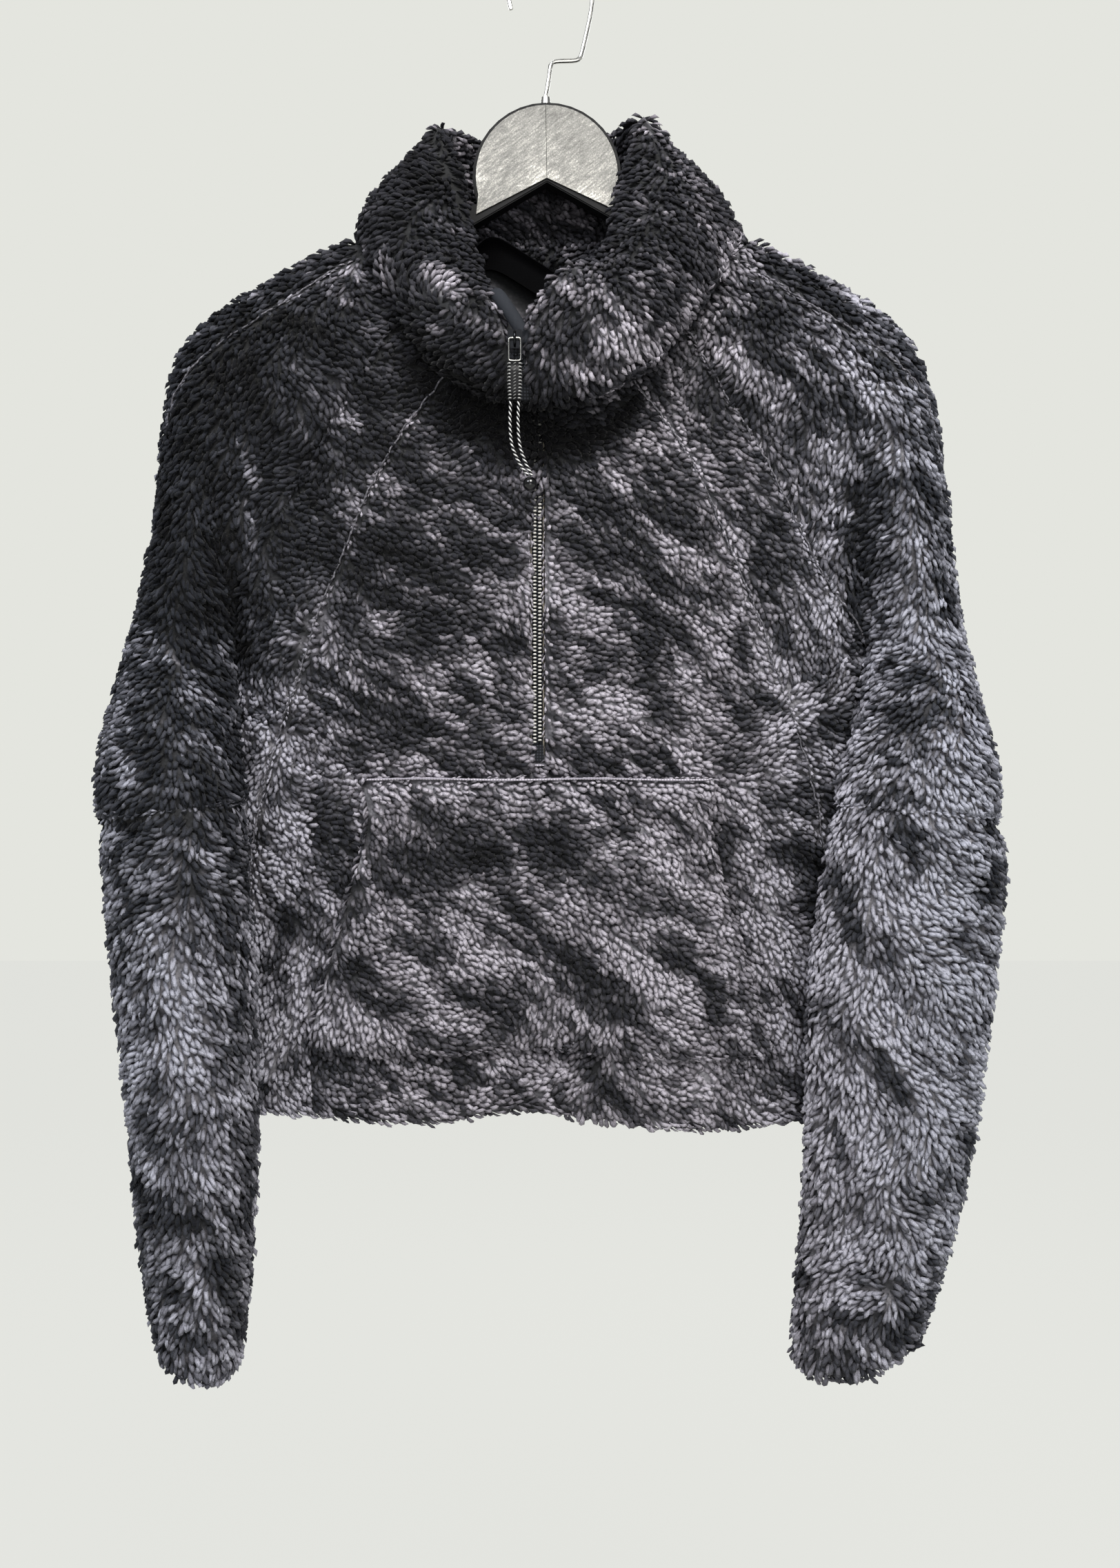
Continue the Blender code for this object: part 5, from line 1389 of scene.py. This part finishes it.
@dataclass
class Pullover:
    """The garment: its cut panels, the lines where they're sewn, and their pile."""

    panels: tuple[Cloth, ...] = (
        Cloth("front_centre", (400, 560), 0.137, 2, covered=(-110, 95, -690, -528)),
        Cloth("front_side_left", (90, 480), 0.0185, 3),
        Cloth("front_side_right", (95, 480), 0.023, 4),
        Cloth("back", (450, 560), 0.194, 5, BACK_NAP),
        Cloth("sleeve_front_left", (150, 360), 0.034, 6, SLEEVE_NAP),
        Cloth("sleeve_front_right", (150, 360), 0.036, 7, SLEEVE_NAP),
        Cloth("sleeve_back_left", (190, 380), 0.049, 8, SLEEVE_BACK_NAP),
        Cloth("sleeve_back_right", (190, 380), 0.049, 9, SLEEVE_BACK_NAP),
        Cloth("sleeve_lower_left", (240, 330), 0.067, 10, LEFT_FOREARM_NAP),
        Cloth("sleeve_lower_right", (260, 330), 0.073, 11, RIGHT_FOREARM_NAP),
        Cloth("collar", (620, 100), 0.052, 12, COLLAR_NAP, creased=False, both_sides=True),
        Cloth("pocket", (284, 172), 0.0405, 13),
    )
    reach: float = 2.2         # edges of two panels this near each other are sewn, in mm
    ridge: float = 1.55        # height of the matted line along a seam over the ground, in mm
    girth: float = 0.6         # its radius
    stray: float = 4.5         # how far it wanders
    step: float = 2.4          # between two of its points
    weld: float = 0.4          # ends this near each other are one
    beside_zip: float = 3.8    # the pile is pressed along lines this far from the zip's middle
    pocket_press: float = -531.5   # and along the pocket's top at this height
    pocket_top: float = -530.6     # middle of the pocket's turned edge
    stitch_row: float = -520.5     # height of the stitches under the zip
    sewn: list[Vector] = field(default_factory=list)
    covered_seams: frozenset[str] = frozenset({"collar", "sleeve_lower_left", "sleeve_lower_right"})

    def seam_lines(self) -> bpy.types.Object:
        """Find the lines along which two panels meet, and keep the ones that show in sewn.

        Returns:
            Loose edges along the seams, the pocket's top and the zip, where the pile is pressed.
        """
        rims: list[tuple[int, Vector, Vector, Vector]] = []
        for number, cloth in enumerate(self.panels):
            if cloth.node == "pocket":
                continue
            work = cloth.split()
            for edge in work.edges:
                kinds = {f.material_index: f.normal.copy() for f in edge.link_faces}
                if 0 in kinds and 2 in kinds:
                    rims.append((number, *(v.co.copy() for v in edge.verts), kinds[0]))
            work.free()
        tree = KDTree(len(rims))
        for i, (_, a, b, _) in enumerate(rims):
            tree.insert((a + b) / 2, i)
        tree.balance()
        points = []
        for number, a, b, out in rims:
            meets = [
                {rims[i][0] for _, i, _ in tree.find_n(p, 12)
                 if min((end - p).length for end in rims[i][1:3]) < self.reach * MM} - {number}
                for p in (a, b)
            ]
            if all(meets):
                points += [a, b]
                other = max(meets[0])
                if other > number and not {self.panels[number].node, self.panels[other].node} & self.covered_seams:
                    self.sewn += [a + out * self.ridge * MM, b + out * self.ridge * MM]
        chain = [(CENTRE_X, z) for z in range(-504, -366, 6)]
        for line in (
            FrontOf("pocket").line(((x, self.pocket_press) for x in range(-118, 104, 6)), (0, 0, 1.5)),
            FrontOf("zip_chain").line(chain, (-self.beside_zip, 0, 0)),
            FrontOf("zip_chain").line(chain, (self.beside_zip, 0, 0)),
        ):
            points += [end for pair in zip(line, line[1:]) for end in pair]
        return bpy.data.objects.new("seam_lines", wire_of("seam_lines", points))

    @staticmethod
    def rib(name: str, line: list[Vector], high: float, deep: float) -> bpy.types.Object:
        """A rounded rib that stands out of the cloth along a line.

        Args:
            name: The piece's name.
            line: Its middle, in metres.
            high: How high it is, in mm.
            deep: How far it stands to both sides of the line in depth, in mm.

        Returns:
            The rib as a closed tube, thinner at its ends.
        """
        points, around = [], 8
        for i, at in enumerate(line):
            end = min(1.0, 0.25 + min(i, len(line) - 1 - i) / 2)
            lift = 0.5 * high * end * (1 + 0.16 * math.sin(i * 1.9) + 0.1 * math.sin(i * 0.53))
            for turn in (math.tau * k / around for k in range(around)):
                points.append((at.x / MM, at.y / MM + deep * end * math.cos(turn), at.z / MM + lift * math.sin(turn)))
        return new_object(name, mesh_of(name, points, tube_faces(len(line), around)), BINDING)

    def seam_ridges(self) -> None:
        """The seams that show: a fine line of matted pile between the panels, broken where locks fall over it."""
        tree, give = geometry_tree(
            "seam_line", {"Weld": "Float", "Step": "Float", "Girth": "Float", "Material": "Material"})
        welded = add_node(tree, "GeometryNodeMergeByDistance", {"Geometry": give["Geometry"], "Distance": give["Weld"]})
        curve = add_node(tree, "GeometryNodeMeshToCurve", {0: welded})
        even = add_node(tree, "GeometryNodeResampleCurve", {"Curve": curve, "Length": give["Step"]}, mode="LENGTH")
        waver = add_node(tree, "ShaderNodeTexNoise", {"Scale": 160.0, "Detail": 1.0})
        aside = add_node(
            tree, "ShaderNodeVectorMath", {0: waver.outputs["Color"], 1: (0.5, 0.5, 0.5)}, operation="SUBTRACT")
        moved = add_node(tree, "ShaderNodeVectorMath", {0: aside, "Scale": self.stray * MM}, operation="SCALE")
        strayed = add_node(tree, "GeometryNodeSetPosition", {"Geometry": even, "Offset": moved})
        section = add_node(
            tree, "GeometryNodeCurvePrimitiveCircle", {"Resolution": 5, "Radius": give["Girth"]}, mode="RADIUS")
        tube = add_node(
            tree, "GeometryNodeCurveToMesh", {"Curve": strayed, "Profile Curve": section, "Fill Caps": True})
        end_tree(tree, tube, give["Material"])
        points = np.array(self.sewn) / MM
        points[:, 1] += crease_shift(points, False)
        made = new_object("seam_ridges", wire_of("seam_ridges", (points * MM).tolist()))
        run_tree(made, tree, {
            "Weld": self.weld * MM, "Step": self.step * MM, "Girth": self.girth * MM, "Material": SEAM.material()})
        finish_piece(made, COAT)

    def trims(self) -> None:
        """The pocket's turned top edge and the short row of stitches under the zip."""
        edge = FrontOf("pocket").line(
            ((x, self.pocket_top + 0.5 * math.sin(x / 17)) for x in range(-117, 104, 3)), (0, -1.1, 1.4))
        finish_piece(self.rib("pocket_top_edge", edge, 1.5, 2.4), COAT)
        row = FrontOf("front_centre").line(((x, self.stitch_row) for x in range(-16, -1, 2)), (0, -1.2, 0))
        finish_piece(self.rib("zip_end_stitches", row, 1.2, 1.6), COAT)

    def build(self) -> None:
        """Make every panel, its pile and the trims."""
        coat = PileCoat(self.seam_lines())
        for cloth in self.panels:
            cloth.build(coat)
        coat.close_over(FrontOf("zip_chain"))
        self.seam_ridges()
        self.trims()


# ---------------------------------------------------------------- zip, pull and hanger


@dataclass
class NeckTape:
    """The tape inside the back neck, which has turned: its right end droops and its top folds forward."""

    middle: float = -17.0      # of the stretch that has come loose, across
    loose: float = 34.0        # half that stretch
    widen: float = 11.0        # how much taller it looks there
    lift: float = 9.0
    droop: float = 0.62        # how much it falls for each mm to the right
    pivot: float = -20.0       # it droops to the right of here
    forward: float = 7.0
    fold: float = 6.0          # how much further forward its top comes

    def build(self) -> None:
        """Remake the tape from its CAD node and turn it."""
        made = smooth_cad("neck_tape", "neck_tape_weave", NECK_STRIP, 2)
        low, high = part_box("neck_tape")
        points = points_of(made.data)
        x, up = points[:, 0].copy(), (points[:, 2] - (low.z + high.z) / 2 / MM) / (high.z - low.z) * MM
        loose = np.exp(-(((x - self.middle) / self.loose) ** 4))
        points[:, 2] += loose * (self.widen * up + self.lift - self.droop * (x - self.pivot))
        points[:, 1] -= loose * (self.forward + self.fold * smooth_step((up - 0.1) / 0.4))
        move_points(made.data, points)
        finish_piece(made, COAT)


@dataclass
class Zip:
    """Rows of plated teeth on the CAD tapes, and the trim at their ends."""

    pitch: float = 2.25        # between two teeth of one row
    tooth: tuple[float, float, float] = (2.5, 1.3, 2.4)     # width, height and depth
    rings: tuple[tuple[float, float], ...] = ((1.0, 0.9), (-0.35, 1.0), (-1.0, 0.62))   # a tooth's depth and swell
    offset: float = 1.6        # middle of a row from the zip's line
    chest: range = range(-506, -297, 3)      # heights at which the chest's chain is looked for
    neck: range = range(-292, -276, 2)       # and the collar's
    neck_line: tuple[tuple[float, float], ...] = ((-303.0, -265.0), (-15.0, -20.6))   # its heights and places across
    sunk: float = 0.75         # how far behind the chain's front the teeth sit
    deeper: float = 1.9        # how much deeper they sit in the collar's shade
    shade_foot: float = -362.0     # where that begins
    shade_soft: float = 16.0   # over how much height
    spine: tuple[tuple[float, float, float], ...] = (
        (-34.5, -235.5, 9.0), (-30.5, -240.5, 4.2), (-27.0, -246.5, 1.0), (-23.5, -252.0, -0.6),
        (-19.5, -258.5, -1.8), (-15.5, -265.5, -2.4), (-12.5, -271.5, -2.2),
    )                          # the guard's middle: across, up and its depth from its CAD box's middle
    section: tuple[tuple[float, float], ...] = (
        (-4.8, 1.6), (-3.6, -0.6), (-1.2, -1.9), (1.6, -1.6), (3.8, 0.4), (4.6, 2.4), (2.6, 1.8), (0.0, 0.6),
        (-2.6, 1.2),
    )                          # the guard's rolled section: across it and in depth
    slant: tuple[float, float] = (0.86, 0.5)   # which way across the guard is: to the right and up
    tapes: tuple[tuple[str, str, Finish], ...] = (
        ("zip_tape", "zip_tape_weave", TAPE), ("zip_tab", "zip_end_tab", TRIM), ("zip_collar", "collar_zip_tape", TRIM),
    )

    def one_tooth(self) -> bpy.types.Object:
        """Make a pill-shaped tooth with a rounded front.

        Returns:
            The tooth, linked nowhere.
        """
        wide, high, deep = (c / 2 for c in self.tooth)
        points = []
        for depth, swell in self.rings:
            for turn in (math.tau * (k + 0.5) / 8 for k in range(8)):
                across, up = (math.copysign(abs(c) ** 0.7, c) for c in (math.cos(turn), math.sin(turn)))
                points.append((swell * wide * across, depth * deep, swell * high * up))
        return bpy.data.objects.new("zip_tooth", mesh_of("zip_tooth", points, tube_faces(3, 8)))

    def line_tree(self) -> bpy.types.NodeTree:
        """Set teeth at both sides of a line, each row half a pitch on.

        Returns:
            The tree, which has no random part.
        """
        tree, give = geometry_tree(
            "tooth_rows", {"Pitch": "Float", "Offset": "Float", "Tooth": "Object", "Material": "Material"})
        curve = add_node(tree, "GeometryNodeMeshToCurve", {0: give["Geometry"]})
        shape = add_node(tree, "GeometryNodeObjectInfo", {"Object": give["Tooth"]}, transform_space="ORIGINAL")
        joined = add_node(tree, "GeometryNodeJoinGeometry")
        for side, start in ((-1.0, 0.0), (1.0, 0.5)):
            begin = add_node(tree, "ShaderNodeMath", {0: give["Pitch"], 1: start + 0.001}, operation="MULTIPLY")
            trim = add_node(
                tree, "GeometryNodeTrimCurve", {"Curve": curve, 4: begin, 5: 10.0}, mode="LENGTH")
            row = add_node(
                tree, "GeometryNodeCurveToPoints", {"Curve": trim, "Length": give["Pitch"]}, mode="LENGTH")
            aside = add_node(tree, "ShaderNodeMath", {0: give["Offset"], 1: side}, operation="MULTIPLY")
            step = add_node(tree, "ShaderNodeCombineXYZ", {0: aside})
            moved = add_node(tree, "GeometryNodeSetPosition", {"Geometry": row, "Offset": step})
            frame = add_node(
                tree, "FunctionNodeAxesToRotation",
                {"Primary Axis": row.outputs["Tangent"], "Secondary Axis": (1.0, 0.0, 0.0)},
                primary_axis="Z", secondary_axis="X",
            )
            teeth = add_node(
                tree, "GeometryNodeInstanceOnPoints",
                {"Points": moved, "Instance": shape.outputs["Geometry"], "Rotation": frame},
            )
            tree.links.new(teeth.outputs[0], joined.inputs[0])
        end_tree(tree, joined, give["Material"])
        return tree

    def row(self, name: str, line: list[Vector], tree: bpy.types.NodeTree, tooth: bpy.types.Object,
            plating: Finish) -> bpy.types.Object:
        """Set teeth along a line.

        Args:
            name: The piece's name.
            line: The middle of the chain, from its foot up, in metres.
            tree: The tree from line_tree.
            tooth: One tooth.
            plating: What the teeth wear.

        Returns:
            The teeth as one mesh.
        """
        mesh = bpy.data.meshes.new(name)
        mesh.from_pydata(line, [(i, i + 1) for i in range(len(line) - 1)], [])
        return run_tree(new_object(name, mesh), tree, {
            "Pitch": self.pitch * MM, "Offset": self.offset * MM, "Tooth": tooth, "Material": plating.material()})

    def guard(self) -> bpy.types.Object:
        """Roll the smooth band over the collar's edge, from the slider's top down and to the right.

        Returns:
            The band, standing for the CAD guard.
        """
        low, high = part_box("chin_guard")
        deep = (low.y + high.y) / 2 / MM
        right, up = self.slant
        points = [(x + a * right, deep + y + d, z + a * up) for x, z, y in self.spine for a, d in self.section]
        mesh = mesh_of("chin_guard_roll", points, tube_faces(len(self.spine), len(self.section)))
        made = subdivide(new_object("chin_guard_roll", mesh, GUARD), 2)
        shade_smooth(made.data)
        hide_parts("chin_guard")
        return made

    def build(self) -> None:
        """Make the teeth of the chest and the collar, the tapes, the guard and the slider."""
        tree, tooth = self.line_tree(), self.one_tooth()
        chain = FrontOf("zip_chain")
        line = [
            hit + Vector((0, (self.sunk + self.deeper * smooth_step((z - self.shade_foot) / self.shade_soft)) * MM, 0))
            for z in self.chest for hit in chain.line([(CENTRE_X, z)])
        ]
        chest = self.row("chest_zip_teeth", line, tree, tooth, TEETH)
        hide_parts("zip_chain")
        finish_piece(chest, COAT)
        # painted shade: the collar's teeth wear the slider's dark plating instead of the chest's nickel, as they lie in
        # the collar's shade
        line = FrontOf("zip_collar").line(
            ((np.interp(z, *self.neck_line), z) for z in self.neck), (0, -0.1, 0))
        finish_piece(self.row("collar_zip_teeth", line, tree, tooth, SLIDER), COAT)
        for node, name, finish in self.tapes:
            finish_piece(smooth_cad(node, name, finish), COAT)
        NeckTape().build()
        finish_piece(self.guard(), COAT)
        finish_piece(smooth_cad("zip_slider", "zip_slider_body", SLIDER, 2, 80), COAT)
        finish_piece(smooth_cad("slider_bridge", "zip_slider_bridge", SLIDER, 1, 80), COAT)


@dataclass
class Pull:
    """The hinged pull: wire loop, moulded grip, two plaited strands and a bead."""

    hinge: tuple[float, float, float] = (-20.61, -88.58, -269.85)
    top: float = -307.0        # where the strands leave the grip
    drop: float = 43.80        # from there down to the bead
    bead_aside: float = 9.0    # the bead's middle from the hinge, across
    path: tuple[tuple[float, float], ...] = ((0, 0), (0.3, -0.05), (0.6, 0.12), (0.85, 0.62), (1, 1))
    strands: tuple[tuple[str, float, float], ...] = (("left", -2.4, -3.2), ("right", 2.3, -1.6))   # start and bow
    steps: int = 150           # pieces that a strand's line is drawn with
    around: int = 12           # points round a strand
    radius: float = 0.95       # of a strand
    lay: float = 6.2           # length of one turn of its two yarns
    wrap_top: float = -284.2
    wrap_half: float = 4.4     # half the grip's width
    wrap_long: float = 22.5
    wrap_thick: float = 4.4
    inset: float = 1.4         # how much slimmer the core is than the grip
    ribs: int = 11             # down each side
    rib_half: tuple[float, float] = (1.32, 0.74)      # half a rib's width and height
    plaits: int = 12           # turns of the plait down the middle
    plait_half: tuple[float, float] = (1.5, 0.5)
    plait_tilt: float = -30.0  # degrees

    def route(self, start: float, bow: float) -> list[Vector]:
        """Draw a strand's centre line from the grip's foot to the bead.

        Args:
            start: Where it leaves the grip, across, in mm.
            bow: How far it bows aside.

        Returns:
            Points in metres, close enough together to draw a round cord.
        """
        knots = []
        for down, across in self.path:
            x = start * (1 - across) + (self.bead_aside + start / 2) * across + bow * across * (1 - across)
            knots.append(Vector((self.hinge[0] + x, self.hinge[1], self.top - self.drop * down)) * MM)
        points = []
        for i in range(self.steps + 1):
            t = i / self.steps * (len(knots) - 1)
            k = min(int(t), len(knots) - 2)
            t -= k
            before = knots[k - 1] if k else knots[0] * 2 - knots[1]
            after = knots[k + 2] if k + 2 < len(knots) else knots[-1] * 2 - knots[-2]
            enter, leave = (knots[k + 1] - before) / 2, (after - knots[k]) / 2
            points.append(
                knots[k] * (1 + 2 * t) * (1 - t) ** 2 + knots[k + 1] * t * t * (3 - 2 * t)
                + enter * t * (1 - t) ** 2 - leave * t * t * (1 - t)
            )
        return points

    def strand(self, side: str, line: list[Vector]) -> bpy.types.Object:
        """Make one plaited strand with the lay of its yarns in its section.

        Args:
            side: Left or right.
            line: Its centre line, in metres.

        Returns:
            The strand, standing for the CAD cord.
        """
        rows, shade, travelled = [], [], 0.0
        for i, point in enumerate(line):
            travelled += (point - line[i - 1]).length / MM if i else 0.0
            run = (line[min(i + 1, len(line) - 1)] - line[max(i - 1, 0)]).normalized()
            aside = run.cross(Vector((0, 1, 0))).normalized()
            deep = aside.cross(run)
            for turn in (math.tau * k / self.around for k in range(self.around)):
                lobe = math.cos(2 * (turn - math.tau * travelled / self.lay))
                reach = self.radius * (0.88 + 0.15 * lobe)
                rows.append(tuple(point / MM + (aside * math.cos(turn) + deep * math.sin(turn)) * reach))
                shade.append(0.5 + 0.5 * lobe)
        mesh = mesh_of(f"cord_{side}", rows, tube_faces(len(line), self.around))
        store(mesh, "strand", shade)
        made = new_object(f"pull_strand_{side}", mesh, CORD)
        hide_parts(f"pull_cord_{side}")
        return finish_piece(made, PULL)

    @staticmethod
    def taper(share: float) -> float:
        """The grip's width against its widest, at a share of its length from the foot."""
        return 0.86 + 0.14 * smooth_step(share * 2.2)

    def grip(self) -> bpy.types.Object:
        """Make the grip: a tapered core, ribs down both sides and a slanting plait between them, with painted shade
        between the ribs.

        Returns:
            The grip, standing for the CAD wrap.
        """
        (x0, y0), thick, foot = self.hinge[:2], self.wrap_thick / 2, self.wrap_top - self.wrap_long
        work = bmesh.new()
        bmesh.ops.create_cube(work, size=1.0)
        size = (2 * self.wrap_half - self.inset, 2 * thick - self.inset, self.wrap_long)
        bmesh.ops.scale(work, vec=size, verts=work.verts)
        bmesh.ops.subdivide_edges(work, edges=work.edges, cuts=3, use_grid_fill=True)
        for vert in work.verts:
            share = vert.co.z / self.wrap_long + 0.5
            vert.co = Vector((x0 + vert.co.x * self.taper(share), y0 + vert.co.y, foot + self.wrap_long * share))
        core = len(work.verts)
        out, up = self.rib_half
        for side in (-1, 1):
            for share in ((i + 0.5) / self.ribs for i in range(self.ribs)):
                ring = bmesh.ops.create_uvsphere(work, u_segments=12, v_segments=8, radius=1.0)["verts"]
                bmesh.ops.scale(work, vec=(out, thick, up), verts=ring)
                at = (x0 + side * (self.wrap_half - out) * self.taper(share), y0, foot + self.wrap_long * share)
                bmesh.ops.translate(work, vec=at, verts=ring)
        ribbed = len(work.verts)
        tilt = Matrix.Rotation(math.radians(self.plait_tilt), 3, "Y")
        for share in ((i + 0.5) / self.plaits for i in range(self.plaits)):
            ring = bmesh.ops.create_uvsphere(work, u_segments=10, v_segments=6, radius=1.0)["verts"]
            bmesh.ops.scale(work, vec=(self.plait_half[0], thick * 0.92, self.plait_half[1]), verts=ring)
            bmesh.ops.rotate(work, cent=(0, 0, 0), matrix=tilt, verts=ring)
            bmesh.ops.translate(work, vec=(x0, y0, foot + self.wrap_long * share), verts=ring)
        for face in work.faces:
            face.smooth = True
        bmesh.ops.scale(work, vec=(MM, MM, MM), verts=work.verts)
        mesh = mesh_from(work, bpy.data.meshes.new("pull_grip"))
        # painted shade and highlight: each rib and each turn of the plait is pale in its middle and dark at its edges,
        # and the core between them is dark
        shade = []
        for i, (x, _, z) in enumerate(points_of(mesh)):
            count, lean, dim = (self.ribs, 0.0, 0.0) if i < ribbed else (self.plaits, 0.58 * (x - x0), 0.06)
            phase = ((z - foot - lean) / (self.wrap_long / count)) % 1.0
            shade.append(0.2 if i < core else 0.30 + 0.42 * math.sin(math.pi * phase) - dim)
        store(mesh, "strand", shade)
        made = new_object("pull_grip", mesh, CORD)
        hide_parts("pull_wrap")
        return finish_piece(made, PULL)

    def build(self) -> None:
        """Make the loop, the grip, the bead and both strands."""
        finish_piece(smooth_cad("pull_loop", "pull_wire_loop", WIRE, 1, 80), PULL)
        self.grip()
        bead = finish_piece(smooth_cad("pull_bead", "pull_end_bead", BEAD, 1, 80), PULL)
        for side, start, bow in self.strands:
            line = self.route(start, bow)
            self.strand(side, line)


@dataclass
class Hanger:
    """Moulded arms, two silver faces, ferrule and bent wire hook."""

    parts: tuple[tuple[str, str, Finish, str, int], ...] = (
        ("hanger_body", "hanger_moulding", HANGER, "black_plastic", 0),
        ("hanger_plate_left", "hanger_face_left", FILM, "silver_plate", 0),
        ("hanger_plate_right", "hanger_face_right", FILM, "silver_plate", 0),
        ("hanger_ferrule", "hanger_ferrule_turned", WIRE, "steel", 1),
        ("hanger_hook", "hanger_wire_hook", WIRE, "steel", 1),
    )

    def build(self) -> None:
        """Remake each hard part with its own finish."""
        for node, name, finish, slot, levels in self.parts:
            finish_piece(smooth_cad(node, name, finish, levels), COAT)


@dataclass
class Studio:
    """Camera at the photograph's place, soft lights, a pale floor far below; in metres."""

    lens: float = 37.2         # in mm, on a 36 mm long side
    camera: tuple[float, float, float] = (0.006, -1.040, -0.532)
    floor: float = -1.30
    reach: float = 6.0         # half the floor's side
    ambient: float = 0.32      # light from all around; the pale background that the camera sees is brighter
    lamps: tuple[tuple[str, tuple[float, float, float], float, float, float, str], ...] = (
        ("key_light", (0.35, -1.25, 0.85), -0.45, 0.8, 43.0, "#fffdf9"),
        ("left_light", (-0.8, -1.15, 0.7), -0.45, 0.8, 16.0, "#f6f9ff"),
        ("front_fill", (0.3, -2.2, -0.5), -0.5, 1.2, 8.0, "#ffffff"),
        ("back_light", (0.0, 1.6, 0.5), -0.5, 1.2, 24.0, "#ffffff"),
    )                          # name, place, height of what it looks at, side, watts, colour

    @staticmethod
    def stand(name: str, kind: bpy.types.Camera | bpy.types.Light, place: tuple[float, float, float],
              turn: tuple[float, float, float]) -> bpy.types.Object:
        """Put a camera or a lamp in the scene.

        Args:
            name: Its name.
            kind: Its settings.
            place: Where it stands.
            turn: Its turns about X, Y and Z.

        Returns:
            The new object.
        """
        made = bpy.data.objects.new(name, kind)
        made.location, made.rotation_euler = place, turn
        bpy.context.scene.collection.objects.link(made)
        return made

    def glow(self) -> bpy.types.World:
        """Make the world that lights from all around and is paler to the camera.

        Returns:
            The world.
        """
        world = bpy.data.worlds.new("pale_studio")
        world.use_nodes = True
        tree = world.node_tree
        tree.nodes.clear()
        seen = add_node(tree, "ShaderNodeBackground", {"Color": linear("#e4e5df"), "Strength": 1.0})
        given = add_node(tree, "ShaderNodeBackground", {"Color": linear("#f2f4f6"), "Strength": self.ambient})
        ray = add_node(tree, "ShaderNodeLightPath")
        both = add_node(
            tree, "ShaderNodeMixShader", {0: ray.outputs["Is Camera Ray"], 1: given, 2: seen})
        add_node(tree, "ShaderNodeOutputWorld", {"Surface": both})
        return world

    def build(self) -> None:
        """Set up the view, the light and the floor."""
        scene = bpy.context.scene
        view = bpy.data.cameras.new("photograph_view")
        view.sensor_width, view.lens = 36.0, self.lens
        view.clip_start, view.clip_end = 0.05, 50.0
        scene.camera = self.stand("photograph_view", view, self.camera, (math.radians(90), 0.0, 0.0))
        scene.world = self.glow()
        scene.view_settings.view_transform = "Standard"
        for name, place, height, size, power, colour in self.lamps:
            lamp = bpy.data.lights.new(name, "AREA")
            lamp.shape, lamp.size, lamp.energy = "SQUARE", size, power
            lamp.color = linear(colour)[:3]
            look = Vector((0.0, 0.0, height)) - Vector(place)
            self.stand(name, lamp, place, look.to_track_quat("-Z", "Y").to_euler())
        corners = ((-1, -1), (1, -1), (1, 1), (-1, 1))
        points = [(x * self.reach / MM, y * self.reach / MM, self.floor / MM) for x, y in corners]
        mesh = mesh_of("studio_floor", points, [(0, 1, 2, 3)], closed=False)
        new_object("studio_floor", mesh, BackdropPaper("pale_backdrop_paper"))


def main() -> None:
    """Build the whole scene in order."""
    logging.basicConfig(level=logging.INFO, format="%(message)s")
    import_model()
    Studio().build()
    for part in (Hanger(), Zip(), Pull(), Pullover()):
        part.build()
        LOG.info("%s done", type(part).__name__)


if __name__ == "__main__":
    main()
